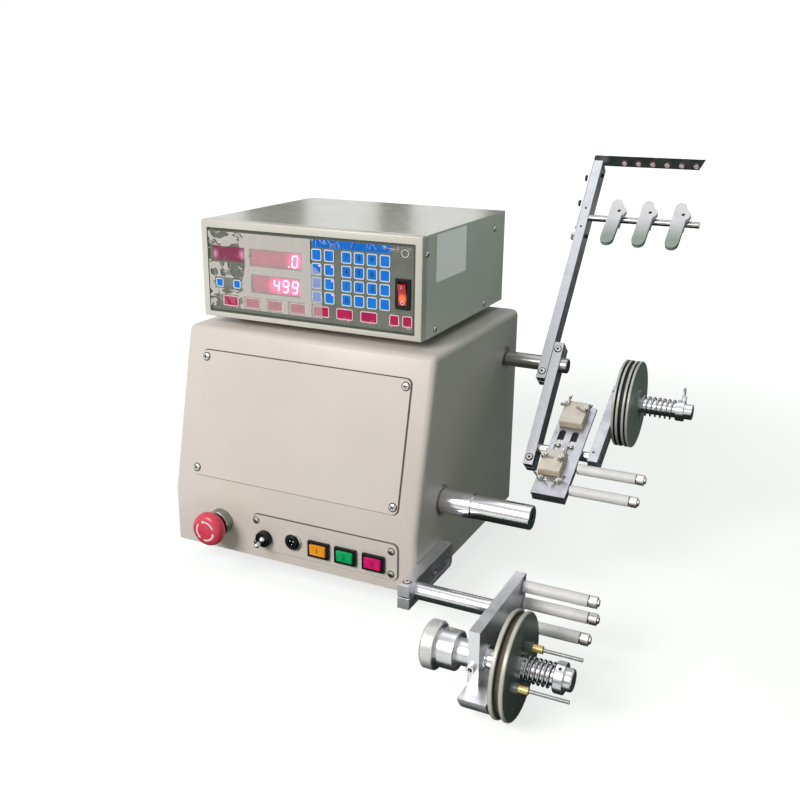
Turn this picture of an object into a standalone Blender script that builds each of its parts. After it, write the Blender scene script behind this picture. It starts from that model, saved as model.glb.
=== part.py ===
"""A wire coil winding machine: cabinet, control box, spindle, wire guide, tensioner and brake.

Lengths are metres. X runs along the spindle to the right, Y to the back and Z up. The pieces are
placed from the middle of the cabinet's underside, and centred over the origin at the end.
"""
import math

import bmesh
import bpy
import numpy as np
from mathutils import Matrix, Vector

# Clearances and common stock
SEAT_GAP = 0.0003
RUNNING_GAP = 0.0003
OVERRUN = 0.004
SINK = 0.001
MERGE_DISTANCE = 0.00001
SHEET = 0.0015
SPRING_CLEARANCE = 0.0006

# Cabinet
CABINET_WIDTH = 0.310
CABINET_DEPTH = 0.292
CABINET_HEIGHT = 0.250
LOWER_FRONT_HEIGHT = 0.063
SLOPE_SETBACK = 0.043
CABINET_BEND_RADIUS = 0.007
TRAY_THICKNESS = 0.002
COVER_WIDTH = 0.261
COVER_LOWER_EDGE = 0.022
COVER_LENGTH = 0.1435
COVER_CORNER = 0.006
COVER_OVERLAP = 0.012
FOOT_HEIGHT = 0.032
FOOT_RADIUS = 0.015
FOOT_TAPER = 0.002
FOOT_ROUNDING = 0.0015
FOOT_INSET = 0.040
FRONT_FOOT_FROM_FRONT = 0.112
REAR_FOOT_FROM_FRONT = 0.262
VENT_WIDTH = 0.060
VENT_HEIGHT = 0.005
VENT_PITCH = 0.012
VENT_COUNT = 5
VENT_CENTRE_X = 0.070
VENT_LOWEST = 0.160
INLET_WIDTH = 0.028
INLET_HEIGHT = 0.020
INLET_FLANGE = 0.005
INLET_PROUD = 0.003
INLET_DEPTH = 0.022
INLET_WALL = 0.0025
INLET_X = -0.100
INLET_Z = 0.040

# Switch plate and its controls, placed from the cabinet's middle and underside
SWITCH_PLATE_INSET = 0.021
SWITCH_PLATE_WIDTH = 0.180
SWITCH_PLATE_HEIGHTS = (0.012, 0.053)
SWITCH_PLATE_CORNER = 0.006
SWITCH_OPENING_MARGIN = 0.008
YELLOW_BUTTON_INSET = 0.0946
GREEN_BUTTON_INSET = 0.0612
MAGENTA_BUTTON_INSET = 0.0273
BUTTON_Z = 0.028
BEZEL_WIDTH = 0.026
BEZEL_HEIGHT = 0.0185
BEZEL_PROUD = 0.0035
BEZEL_BARREL_INSET = 0.002
BEZEL_BARREL_DEPTH = 0.016
BUTTON_RIM = 0.003
BUTTON_PROUD = 0.0055
BUTTON_TRAVEL = 0.002
BUTTON_DEPTH = 0.008
BUTTON_EDGE = 0.0008
SOCKET_INSET = 0.1274
SOCKET_Z = 0.0305
SOCKET_RADIUS = 0.008
SOCKET_WALL = 0.0022
SOCKET_PROUD = 0.005
SOCKET_BARREL = 0.0065
SOCKET_DEPTH = 0.015
TOGGLE_INSET = 0.1646
TOGGLE_Z = 0.0268
TOGGLE_RADIUS = 0.0095
TOGGLE_PROUD = 0.007
TOGGLE_BARREL = 0.006
TOGGLE_DEPTH = 0.020
TOGGLE_MOUTH = 0.0045
TOGGLE_MOUTH_DEPTH = 0.006
LEVER_RADIUS = 0.0017
LEVER_TIP_RADIUS = 0.0028
LEVER_LENGTH = 0.0136
LEVER_TIP_LENGTH = 0.006
LEVER_TILT = math.radians(14)
ESTOP_INSET = 0.065
ESTOP_Z = 0.035
ESTOP_COLLAR_RADIUS = 0.0150
ESTOP_COLLAR_PROUD = 0.011
ESTOP_BARREL = 0.011
ESTOP_DEPTH = 0.030
ESTOP_STEM = 0.0075
ESTOP_HEAD_RADIUS = 0.0195
ESTOP_HEAD_BACK = 0.019
ESTOP_HEAD_FRONT = 0.033
ESTOP_TRAVEL = 0.004
ESTOP_SOCKET_DEPTH = 0.018

# Control box
BOX_LEFT = 0.140
BOX_RIGHT = 0.131
BOX_FROM_FRONT = 0.057
BOX_DEPTH = 0.241
BOX_HEIGHT = 0.1095
BOX_FOOT_HEIGHT = 0.009
BOX_FOOT_RADIUS = 0.009
BOX_FOOT_INSET = 0.028
FRAME_DEPTH = 0.012
FRAME_LEFT_PROUD = 0.002
FRAME_SIDE_RAIL = 0.008
FRAME_LOWER_RAIL = 0.006
FRAME_UPPER_RAIL = 0.0085
FRAME_ROUNDING = 0.0015
PANEL_RECESS = 0.0015
PANEL_THICKNESS = 0.003
KEY_RELIEF = 0.0006
KEY_WIDTH = 0.0123
KEY_HEIGHT = 0.0130
KEY_PITCH = 0.0152
FUNCTION_KEYS_X = 0.0065
KEYPAD_X = 0.0428
TOP_KEY_ROW_Z = 0.3403
KEY_ROWS = 4
LOWER_KEYS_Z = 0.279
LOWER_KEYS_FIRST_X = -0.1057
LOWER_KEYS_PITCH = 0.0292
LOWER_KEY_COUNT = 7
LOWER_KEY_WIDTH = 0.0205
LOWER_KEY_HEIGHT = 0.012
SMALL_KEYS_X = (0.0993, 0.1143)
SMALL_KEY_WIDTH = 0.0115
SIDE_KEYS_X = (-0.1197, -0.0967)
SIDE_KEYS_Z = 0.2987
SIDE_KEY_SIZE = 0.0095
WINDOW_DEPTH = 0.0006
LEFT_WINDOW_ACROSS = (-0.127, -0.087)
LEFT_WINDOW_HEIGHTS = (0.324, 0.340)
UPPER_WINDOW_ACROSS = (-0.0775, -0.013)
UPPER_WINDOW_HEIGHTS = (0.322, 0.3395)
LOWER_WINDOW_ACROSS = (-0.076, -0.015)
LOWER_WINDOW_HEIGHTS = (0.2926, 0.311)
ROCKER_BEZEL_ACROSS = (0.1006, 0.1175)
ROCKER_BEZEL_HEIGHTS = (0.2918, 0.324)
ROCKER_BEZEL_PROUD = 0.002
ROCKER_RIM = 0.0024
ROCKER_BARREL_DEPTH = 0.018
ROCKER_THICKNESS = 0.007
ROCKER_TILT = math.radians(8)
ROCKER_AXIS_DEPTH = 0.002

# Spindle, with its bearing housing and geared motor
SPINDLE_FROM_FRONT = 0.068
SPINDLE_Z = 0.0826
SPINDLE_HOLE_RADIUS = 0.018
SPINDLE_ROOT_RADIUS = 0.014
SPINDLE_ROOT_REACH = 0.036
SPINDLE_GROOVE = 0.0015
SPINDLE_GROOVE_RADIUS = 0.0118
SPINDLE_NOSE_RADIUS = 0.01325
SPINDLE_NOSE_LENGTH = 0.0649
SPINDLE_EDGE = 0.0008
SPINDLE_CENTRE_HOLE = 0.004
SPINDLE_CENTRE_DEPTH = 0.016
SPINDLE_TAIL_RADIUS = 0.009
SPINDLE_TAIL_ENTRY = 0.025
HOUSING_LENGTH = 0.055
HOUSING_HALF_WIDTH = 0.026
HOUSING_TO_MOTOR = 0.040
DRIVE_MOTOR_RADIUS = 0.034
DRIVE_MOTOR_LENGTH = 0.105
MOTOR_FOOT_HALF_WIDTH = 0.030

# Traverse shaft, with its housing, lead screw and motor
TRAVERSE_FROM_FRONT = 0.256
TRAVERSE_Z = 0.1969
TRAVERSE_HOLE_RADIUS = 0.015
TRAVERSE_SHAFT_RADIUS = 0.009
TRAVERSE_TAIL_X = -0.005
TRAVERSE_HOUSING_LENGTH = 0.060
TRAVERSE_HOUSING_HALF = 0.024
TRAVERSE_BORE_RADIUS = 0.0050
TRAVERSE_BORE_DEPTH = 0.150
LEAD_SCREW_RADIUS = 0.004
LEAD_SCREW_REACH = 0.120
LEAD_SCREW_ENTRY = 0.012
TRAVERSE_MOTOR_HALF = 0.021
TRAVERSE_MOTOR_LENGTH = 0.045
TRAVERSE_MOTOR_RIGHT = -0.045
SHAFT_END_REACH = 0.0085
SHAFT_EDGE = 0.0008

# Mast and link bar, both clamped on the traverse shaft
BAR_WIDTH = 0.0115
BAR_DEPTH = 0.0225
BAR_SPACING = 0.0005
BAR_LEAN = math.radians(40)
MAST_FROM_SIDE = 0.046
MAST_TAIL = 0.024
MAST_LENGTH = 0.285
CLAMP_SLIT = 0.0015
LINK_HEAD = 0.0245
LINK_TAIL = 0.1322
CROSS_ROD_REACH = 0.108
CROSS_ROD_RADIUS = 0.006
STRIP_THICKNESS = 0.002
STRIP_FOOT = 0.185
STRIP_RISE = 0.0097
STRIP_REACH = 0.138
STRIP_END_SLANT = 0.010
EYELET_FROM_MAST = 0.0353
EYELET_PITCH = 0.0180
EYELET_COUNT = 6
EYELET_HOLE = 0.0016
EYELET_SETBACK = 0.004
GUIDE_ROD_RADIUS = 0.004
GUIDE_ROD_HEIGHT = 0.2012
GUIDE_ROD_AHEAD = 0.0075
GUIDE_ROD_REACH = 0.1355
FIRST_FINGER_FROM_MAST = 0.0335
MIDDLE_FINGER_FROM_MAST = 0.0715
LAST_FINGER_FROM_MAST = 0.111
FINGER_LEAN = math.radians(50)
FINGER_TONGUE_LENGTH = 0.048
FINGER_TONGUE_HALF = 0.0080
FINGER_HEAD_HEIGHT = 0.024
FINGER_HEAD_HALF = 0.0068
FINGER_LOBE_RADIUS = 0.0088
FINGER_LOBE_OFFSET = 0.0048
FINGER_THICKNESS = 0.0055
FINGER_HUB_WALL = 0.0032
FINGER_HUB_HALF = 0.0065
FINGER_SCREW_HOLE = 0.0016

# Felt plate on the cross rod
FELT_LEAN = math.radians(60)
FELT_PLATE_FROM_LINK = 0.0135
FELT_PLATE_WIDTH = 0.0385
FELT_PLATE_FRONT = 0.013
FELT_PLATE_THICKNESS = 0.0035
FELT_PLATE_TOP = 0.063
FELT_PLATE_BOTTOM = 0.072
FELT_BLOCK_HEIGHT = 0.022
FELT_BLOCK_DEPTH = 0.0125
FELT_RAIL_WIDTH = 0.0100
FELT_RAIL_TOP = 0.017
FELT_HUB_INSET = 0.0045
FELT_HUB_WIDTH = 0.024
FELT_HUB_HALF = 0.0100
FELT_HUB_BACK = 0.0095
SLOT_INSET = 0.0100
SLOT_PITCH = 0.0152
SLOT_COUNT = 2
SLOT_WIDTH = 0.0075
SLOT_ENDS = (-0.013, 0.023)
PAD_THICKNESS = 0.0085
PAD_ROUNDING = 0.0012
UPPER_PAD_INSET = 0.0035
UPPER_PAD_WIDTH = 0.028
UPPER_PAD_HEIGHTS = (0.027, 0.061)
LOWER_PAD_INSET = 0.0005
LOWER_PAD_WIDTH = 0.026
LOWER_PAD_HEIGHTS = (-0.046, -0.015)
UPPER_FELT_ROLLER = (-0.006, -0.024)
LOWER_FELT_ROLLER = (-0.0065, -0.0555)
ROLLER_RADIUS = 0.006
ROLLER_AXLE_RADIUS = 0.002
ROLLER_LENGTH = 0.0745
ROLLER_SHOULDER = 0.0006
ROLLER_NECK_AT = 0.0090
ROLLER_NECK_WIDTH = 0.0012
ROLLER_NECK_DEPTH = 0.0008
ROLLER_HEAD_RADIUS = 0.0036
ROLLER_HEAD_LENGTH = 0.0012

# Tension wheel arm on the cross rod
WHEEL_ARM_LEAN = math.radians(60)
WHEEL_ARM_FROM_FELT = 0.0088
WHEEL_ARM_TAIL = 0.0140
WHEEL_AXIS_REACH = 0.090
WHEEL_ARM_HEAD = 0.014
WHEEL_AXLE_RADIUS = 0.009
WHEEL_AXLE_PROUD = 0.0092
WHEEL_RADIUS = 0.051
WHEEL_FROM_ARM = 0.0006
WHEEL_DISC_WIDTH = 0.0030
FIRST_GROOVE = 0.0020
MIDDLE_GROOVE = 0.0036
LAST_GROOVE = 0.0018
WHEEL_GROOVE_RADIUS = 0.041
WHEEL_RIM_EDGE = 0.0006
WHEEL_FLANGE_RADIUS = 0.0175
WHEEL_FLANGE_WIDTH = 0.0028
TENSION_SPRING_WIRE = 0.0018
TENSION_SPRING_TURNS = 7
TENSION_SPRING_LENGTH = 0.0421
TENSION_COLLAR_WIDTH = 0.0086
TENSION_COLLAR_RADIUS = 0.0120
WING_STEM_RADIUS = 0.0030
WING_STEM_HEIGHT = 0.011
WING_THICKNESS = 0.0022
WING_LENGTH = 0.012
WING_HEIGHT = 0.0055
WING_SPREAD = math.radians(28)

# Side bracket and clamp rod
BRACKET_THICKNESS = 0.0132
BRACKET_BEFORE_FRONT = 0.045
BRACKET_LENGTH = 0.112
BRACKET_BOTTOM = 0.008
BRACKET_HEIGHT = 0.027
BRACKET_EDGE = 0.006
CLAMP_ROD_BEFORE_FRONT = 0.0247
CLAMP_ROD_Z = 0.021
CLAMP_ROD_RADIUS = 0.009
CLAMP_ROD_SOCKET = 0.0065
BRACKET_SLOT_WIDTH = 0.0100
BRACKET_SLOT_Z = 0.0175
BRACKET_SLOT = (0.0025, 0.060)
BOLT_PLACES = (0.008, 0.0305)
BOLT_RADIUS = 0.0045
BOLT_LENGTH = 0.0105

# Brake plate with its axle, guard and roller pins
BRAKE_PLATE_FROM_BRACKET = 0.0965
BRAKE_PLATE_THICKNESS = 0.0107
BRAKE_PLATE_AHEAD = 0.1268
BRAKE_PLATE_LENGTH = 0.1263
BRAKE_PLATE_BOTTOM = -0.0016
BRAKE_PLATE_HEIGHT = 0.0563
BRAKE_AXIS_AHEAD = 0.1089
BRAKE_AXIS_Z = 0.0202
GUARD_RADIUS = 0.047
GUARD_FROM_WHEEL = 0.0033
GUARD_TOP = 0.0008
BRAKE_AXLE_RADIUS = 0.009
BRAKE_RING_RADIUS = 0.0122
BRAKE_RING_WIDTH = 0.0028
UPPER_BRAKE_ROLLER = (0.009, 0.0446)
MIDDLE_BRAKE_ROLLER = (0.005, 0.0242)
LOWER_BRAKE_ROLLER = (0.033, 0.0172)
KNOB_GRIP_LENGTH = 0.0135
KNOB_GRIP_RADIUS = 0.0223
KNOB_GROOVE = 0.0030
KNOB_GROOVE_RADIUS = 0.0165
KNOB_COLLAR_LENGTH = 0.0160
KNOB_COLLAR_RADIUS = 0.0190
KNOB_NECK_LENGTH = 0.0142
KNOB_NECK_RADIUS = 0.0125
KNOB_EDGE = 0.0012
BRAKE_WHEEL_RADIUS = 0.050
BRAKE_WHEEL_FROM_PLATE = 0.0201
BRAKE_DISC_WIDTH = 0.0041
BRAKE_GROOVE_WIDTH = 0.0057
BRAKE_GROOVE_RADIUS = 0.0445
BRAKE_RIM_EDGE = 0.0008
BRAKE_HUB_RADIUS = 0.0135
BRAKE_HUB_WIDTH = 0.0030
POST_RADIUS = 0.0036
POST_LENGTH = 0.0180
PIN_RADIUS = 0.0017
PIN_LENGTH = 0.036
UPPER_POST = (0.0035, 0.0203)
LOWER_POST = (-0.0333, 0.0007)
BRAKE_SPRING_WIRE = 0.0020
BRAKE_SPRING_TURNS = 6
BRAKE_SPRING_LENGTH = 0.0288
BRAKE_NUT_WIDTH = 0.0090
BRAKE_NUT_RADIUS = 0.0145
BRAKE_NUT_END_WIDTH = 0.0073
BRAKE_NUT_END_RADIUS = 0.0105
BRAKE_NUT_EDGE = 0.0012

# Counts of faces round a circle
LARGE_STEPS = 36
MEDIUM_STEPS = 24
SMALL_STEPS = 12
ROUND_END_STEPS = 6
LOBE_STEPS = 5
GUARD_STEPS = 14
DOME_STEPS = 4
BALL_STEPS = 7
CORNER_STEPS = 4
CURL_POINTS = 10
SMOOTH_ANGLE = math.radians(35)

# Places that follow from the sizes above
HALF_WIDTH = CABINET_WIDTH / 2
SWITCH_PLATE_RIGHT = HALF_WIDTH - SWITCH_PLATE_INSET
SWITCH_PLATE_SPAN = (SWITCH_PLATE_RIGHT - SWITCH_PLATE_WIDTH, SWITCH_PLATE_RIGHT)
SOCKET_X = SWITCH_PLATE_RIGHT - SOCKET_INSET
TOGGLE_X = SWITCH_PLATE_RIGHT - TOGGLE_INSET
ESTOP_X = -HALF_WIDTH + ESTOP_INSET
FRONT_Y = -CABINET_DEPTH / 2
BACK_Y = CABINET_DEPTH / 2
SLOPE_ANGLE = math.atan2(SLOPE_SETBACK, CABINET_HEIGHT - LOWER_FRONT_HEIGHT)
TRAY_TOP = TRAY_THICKNESS
SWITCH_PLATE_FACE = FRONT_Y - SEAT_GAP - SHEET
SPINDLE_Y = FRONT_Y + SPINDLE_FROM_FRONT
TRAVERSE_Y = FRONT_Y + TRAVERSE_FROM_FRONT
INNER_SIDE = HALF_WIDTH - SHEET - SEAT_GAP
MAST_LEFT = HALF_WIDTH + MAST_FROM_SIDE
MAST_RIGHT = MAST_LEFT + BAR_WIDTH
LINK_LEFT = MAST_RIGHT + BAR_SPACING
LINK_RIGHT = LINK_LEFT + BAR_WIDTH
HALF_BAR = BAR_DEPTH / 2
FELT_LEFT = LINK_RIGHT + FELT_PLATE_FROM_LINK
FELT_RIGHT = FELT_LEFT + FELT_PLATE_WIDTH
WHEEL_ARM_LEFT = FELT_RIGHT + WHEEL_ARM_FROM_FELT
WHEEL_ARM_RIGHT = WHEEL_ARM_LEFT + BAR_WIDTH
BRACKET_LEFT = HALF_WIDTH + SEAT_GAP
BRACKET_RIGHT = BRACKET_LEFT + BRACKET_THICKNESS
CLAMP_ROD_Y = FRONT_Y - CLAMP_ROD_BEFORE_FRONT
BRAKE_AXIS_Y = FRONT_Y - BRAKE_AXIS_AHEAD
BRAKE_PLATE_FRONT_Y = FRONT_Y - BRAKE_PLATE_AHEAD
BRAKE_PLATE_BACK_Y = BRAKE_PLATE_FRONT_Y + BRAKE_PLATE_LENGTH
BOX_BOTTOM = CABINET_HEIGHT + BOX_FOOT_HEIGHT
BOX_TOP = BOX_BOTTOM + BOX_HEIGHT
BOX_FRONT_Y = FRONT_Y + BOX_FROM_FRONT
BOX_BACK_Y = BOX_FRONT_Y + BOX_DEPTH
FRAME_BACK_Y = BOX_FRONT_Y + FRAME_DEPTH
PANEL_FRONT_Y = BOX_FRONT_Y + PANEL_RECESS
PANEL_BACK_Y = PANEL_FRONT_Y + PANEL_THICKNESS
STRIP_END_FRONT = MAST_LEFT + STRIP_REACH
EYELET_FIRST_X = MAST_LEFT + EYELET_FROM_MAST
GUIDE_ROD_END = MAST_RIGHT + GUIDE_ROD_REACH
FINGER_OFFSETS = (FIRST_FINGER_FROM_MAST, MIDDLE_FINGER_FROM_MAST, LAST_FINGER_FROM_MAST)
FINGER_PLACES = [MAST_RIGHT + offset for offset in FINGER_OFFSETS]
FELT_PLATE_SPAN = (FELT_LEFT, FELT_RIGHT)
FELT_HUB_LEFT = FELT_LEFT + FELT_HUB_INSET
FELT_HUB_SPAN = (FELT_HUB_LEFT, FELT_HUB_LEFT + FELT_HUB_WIDTH)
SLOT_PLACES = [FELT_LEFT + SLOT_INSET + number * SLOT_PITCH for number in range(SLOT_COUNT)]
UPPER_PAD_LEFT = FELT_LEFT + UPPER_PAD_INSET
LOWER_PAD_LEFT = FELT_LEFT + LOWER_PAD_INSET
UPPER_PAD = ((UPPER_PAD_LEFT, UPPER_PAD_LEFT + UPPER_PAD_WIDTH), UPPER_PAD_HEIGHTS)
LOWER_PAD = ((LOWER_PAD_LEFT, LOWER_PAD_LEFT + LOWER_PAD_WIDTH), LOWER_PAD_HEIGHTS)
FELT_ROLLER_PLACES = {"felt_roller_upper": UPPER_FELT_ROLLER, "felt_roller_lower": LOWER_FELT_ROLLER}
WHEEL_START = WHEEL_ARM_RIGHT + WHEEL_FROM_ARM
WHEEL_GROOVES = (FIRST_GROOVE, MIDDLE_GROOVE, LAST_GROOVE)
WHEEL_DISCS = [WHEEL_DISC_WIDTH] * (len(WHEEL_GROOVES) + 1)
WHEEL_FLANGE_END = WHEEL_START + sum(WHEEL_DISCS) + sum(WHEEL_GROOVES) + WHEEL_FLANGE_WIDTH
TENSION_COLLAR_AT = WHEEL_FLANGE_END + TENSION_SPRING_LENGTH
WHEEL_AXLE_END = TENSION_COLLAR_AT + TENSION_COLLAR_WIDTH + WHEEL_AXLE_PROUD
BRAKE_PLATE_LEFT = BRACKET_RIGHT + BRAKE_PLATE_FROM_BRACKET
BRAKE_PLATE_RIGHT = BRAKE_PLATE_LEFT + BRAKE_PLATE_THICKNESS
BRAKE_PLATE_SPAN = (BRAKE_PLATE_LEFT, BRAKE_PLATE_RIGHT)
BRAKE_WHEEL_START = BRAKE_PLATE_RIGHT + BRAKE_WHEEL_FROM_PLATE
BRAKE_DISCS = [BRAKE_DISC_WIDTH] * 2
BRAKE_HUB_END = BRAKE_WHEEL_START + sum(BRAKE_DISCS) + BRAKE_GROOVE_WIDTH + BRAKE_HUB_WIDTH
BRAKE_NUT_AT = BRAKE_HUB_END + BRAKE_SPRING_LENGTH
GUARD_END = BRAKE_WHEEL_START - GUARD_FROM_WHEEL
KNOB_LENGTH = KNOB_GRIP_LENGTH + KNOB_GROOVE + KNOB_COLLAR_LENGTH + KNOB_NECK_LENGTH
KNOB_LEFT = BRAKE_PLATE_LEFT - SEAT_GAP - KNOB_LENGTH
BRAKE_ROLLER_PLACES = (("upper", *UPPER_BRAKE_ROLLER), ("middle", *MIDDLE_BRAKE_ROLLER),
                       ("lower", *LOWER_BRAKE_ROLLER))
POST_PLACES = (UPPER_POST, LOWER_POST)
BUTTON_INSETS = (YELLOW_BUTTON_INSET, GREEN_BUTTON_INSET, MAGENTA_BUTTON_INSET)
BUTTON_PLACES = [SWITCH_PLATE_RIGHT - inset for inset in BUTTON_INSETS]
LEFT_WINDOW = (LEFT_WINDOW_ACROSS, LEFT_WINDOW_HEIGHTS)
UPPER_WINDOW = (UPPER_WINDOW_ACROSS, UPPER_WINDOW_HEIGHTS)
LOWER_WINDOW = (LOWER_WINDOW_ACROSS, LOWER_WINDOW_HEIGHTS)
ROCKER_BEZEL_SPAN = (ROCKER_BEZEL_ACROSS, ROCKER_BEZEL_HEIGHTS)
CHORD_SHARE = math.cos(math.pi / CURL_POINTS)
LEVER_BALL_RADIUS = TOGGLE_MOUTH - RUNNING_GAP
TENSION_SPRING_RADIUS = (WHEEL_AXLE_RADIUS + SPRING_CLEARANCE + TENSION_SPRING_WIRE / 2) / CHORD_SHARE
BRAKE_SPRING_RADIUS = (BRAKE_AXLE_RADIUS + SPRING_CLEARANCE + BRAKE_SPRING_WIRE / 2) / CHORD_SHARE


def clear_scene():
    for obj in list(bpy.data.objects):
        bpy.data.objects.remove(obj, do_unlink=True)


def new_collection(name):
    collection = bpy.data.collections.new(name)
    bpy.context.scene.collection.children.link(collection)
    return collection


def principled(name, red_green_blue, roughness, metallic):
    material = bpy.data.materials.new(name)
    material.use_nodes = True
    shader = material.node_tree.nodes["Principled BSDF"]
    shader.inputs["Base Color"].default_value = (*red_green_blue, 1.0)
    shader.inputs["Roughness"].default_value = roughness
    shader.inputs["Metallic"].default_value = metallic
    material.diffuse_color = (*red_green_blue, 1.0)
    return material


clear_scene()
PARTS = new_collection("wire_coil_winding_machine")
CUTTERS = new_collection("cutters")

CREAM_PAINT = principled("cream_paint", (0.70, 0.64, 0.57), 0.45, 0.0)
GREY_PAINT = principled("grey_paint", (0.45, 0.47, 0.42), 0.5, 0.0)
ZINC_SHEET = principled("zinc_sheet", (0.55, 0.56, 0.57), 0.45, 0.9)
ALUMINIUM = principled("aluminium", (0.60, 0.58, 0.62), 0.35, 0.9)
GROUND_STEEL = principled("ground_steel", (0.62, 0.61, 0.63), 0.22, 1.0)
SPRING_STEEL = principled("spring_steel", (0.50, 0.50, 0.52), 0.30, 1.0)
PULLEY_FINISH = principled("pulley_finish", (0.45, 0.47, 0.44), 0.45, 0.3)
BLACK_PLASTIC = principled("black_plastic", (0.02, 0.02, 0.02), 0.4, 0.0)
BLACK_RUBBER = principled("black_rubber", (0.03, 0.03, 0.03), 0.8, 0.0)
WHITE_NYLON = principled("white_nylon", (0.80, 0.79, 0.80), 0.5, 0.0)
CREAM_FELT = principled("cream_felt", (0.66, 0.60, 0.50), 0.95, 0.0)
PANEL_FILM = principled("panel_film", (0.26, 0.28, 0.24), 0.3, 0.0)
RED_PLASTIC = principled("red_plastic", (0.78, 0.06, 0.10), 0.35, 0.0)
YELLOW_PLASTIC = principled("yellow_plastic", (0.90, 0.36, 0.02), 0.35, 0.0)
GREEN_PLASTIC = principled("green_plastic", (0.01, 0.42, 0.14), 0.35, 0.0)
MAGENTA_PLASTIC = principled("magenta_plastic", (0.70, 0.02, 0.14), 0.35, 0.0)

AXIS_TURNS = {
    "X": Matrix.Rotation(math.pi / 2, 4, "Y"),
    "Y": Matrix.Rotation(-math.pi / 2, 4, "X"),
    "Z": Matrix.Identity(4),
}
PLATE_TURNS = {
    "X": Matrix.Rotation(math.pi / 2, 4, "Z") @ Matrix.Rotation(math.pi / 2, 4, "X"),
    "Y": Matrix.Rotation(math.pi / 2, 4, "X"),
    "Z": Matrix.Identity(4),
}


def cleaned(mesh, join_flats=False):
    """Weld a mesh, face it outwards and shade it with sharp edges kept."""
    bm = bmesh.new()
    bm.from_mesh(mesh)
    bmesh.ops.remove_doubles(bm, verts=bm.verts, dist=MERGE_DISTANCE)
    if join_flats:
        bmesh.ops.dissolve_limit(bm, angle_limit=math.radians(0.2), verts=bm.verts, edges=bm.edges)
    bmesh.ops.recalc_face_normals(bm, faces=bm.faces)
    bm.to_mesh(mesh)
    bm.free()
    mesh.shade_smooth()
    mesh.set_sharp_from_angle(angle=SMOOTH_ANGLE)
    return mesh


def evaluated_mesh(obj, join_flats=False):
    """The finished mesh of a working object, which is then removed."""
    PARTS.objects.link(obj)
    graph = bpy.context.evaluated_depsgraph_get()
    mesh = bpy.data.meshes.new_from_object(obj.evaluated_get(graph), depsgraph=graph)
    bpy.data.objects.remove(obj, do_unlink=True)
    return cleaned(mesh, join_flats)


def block_mesh(span_x, span_y, span_z):
    spans = (span_x, span_y, span_z)
    centre = Vector([(low + high) / 2 for low, high in spans])
    size = [high - low for low, high in spans]
    bm = bmesh.new()
    bmesh.ops.create_cube(bm, size=1.0, matrix=Matrix.Translation(centre) @ Matrix.Diagonal((*size,
                                                                                             1.0)))
    mesh = bpy.data.meshes.new("block")
    bm.to_mesh(mesh)
    bm.free()
    return mesh


def rod_mesh(span, radius, axis="X", centre=(0.0, 0.0, 0.0), steps=MEDIUM_STEPS):
    """A plain cylinder between two places along an axis through centre."""
    low, high = span
    along = Matrix.Translation((0.0, 0.0, (low + high) / 2))
    bm = bmesh.new()
    bmesh.ops.create_cone(bm, cap_ends=True, segments=steps, radius1=radius, radius2=radius,
                          depth=high - low, matrix=Matrix.Translation(centre) @ AXIS_TURNS[axis] @ along)
    mesh = bpy.data.meshes.new("rod")
    bm.to_mesh(mesh)
    bm.free()
    mesh.shade_smooth()
    mesh.set_sharp_from_angle(angle=SMOOTH_ANGLE)
    return mesh


def turned_mesh(outer, inner=(), axis="X", centre=(0.0, 0.0, 0.0), steps=MEDIUM_STEPS):
    """A turned shape. Its profiles are (along, radius) points from the axis's low end to its high end."""
    points = [(radius, 0.0, along) for along, radius in reversed(outer)]
    points += [(radius, 0.0, along) for along, radius in inner]
    edges = [(number, number + 1) for number in range(len(points) - 1)]
    if inner:
        edges.append((len(points) - 1, 0))
    profile = bpy.data.meshes.new("turned")
    profile.from_pydata(points, edges, [])
    obj = bpy.data.objects.new("turned", profile)
    screw = obj.modifiers.new("Turn", "SCREW")
    screw.steps = steps
    screw.render_steps = steps
    screw.use_merge_vertices = True
    screw.merge_threshold = MERGE_DISTANCE
    mesh = evaluated_mesh(obj)
    mesh.transform(Matrix.Translation(centre) @ AXIS_TURNS[axis])
    return mesh


def plate_mesh(loops, span, facing):
    """A flat outline filled across a span of its facing axis, its first loop outside and the rest holes.

    Facing X the outline lies in Y and Z, facing Y in X and Z, and facing Z in X and Y.
    """
    low, high = span
    curve = bpy.data.curves.new("outline", "CURVE")
    curve.dimensions = "2D"
    curve.fill_mode = "BOTH"
    curve.extrude = (high - low) / 2
    for loop in loops:
        spline = curve.splines.new("POLY")
        spline.points.add(len(loop) - 1)
        for point, (across, up) in zip(spline.points, loop):
            point.co = (across, up, 0.0, 1.0)
        spline.use_cyclic_u = True
    mesh = evaluated_mesh(bpy.data.objects.new("outline", curve), join_flats=len(loops) == 1)
    middle = {"X": ((low + high) / 2, 0.0, 0.0), "Y": (0.0, (low + high) / 2, 0.0),
              "Z": (0.0, 0.0, (low + high) / 2)}
    mesh.transform(Matrix.Translation(middle[facing]) @ PLATE_TURNS[facing])
    return mesh


def arc(centre, radius, start, end, steps):
    """Points along an arc, its two ends among them, with angles in radians."""
    angles = np.linspace(start, end, steps + 1)
    return [(centre[0] + radius * math.cos(angle),
             centre[1] + radius * math.sin(angle)) for angle in angles]


def circle_loop(centre, radius, steps=MEDIUM_STEPS):
    return arc(centre, radius, 0.0, 2 * math.pi, steps)[:-1]


def rounded_loop(span_a, span_b, radius, steps=CORNER_STEPS):
    """A rectangle with round corners."""
    (left, right), (bottom, top) = span_a, span_b
    quarter = math.pi / 2
    loop = arc((right - radius, top - radius), radius, 0.0, quarter, steps)
    loop += arc((left + radius, top - radius), radius, quarter, 2 * quarter, steps)
    loop += arc((left + radius, bottom + radius), radius, 2 * quarter, 3 * quarter, steps)
    loop += arc((right - radius, bottom + radius), radius, 3 * quarter, 4 * quarter, steps)
    return loop


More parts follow.
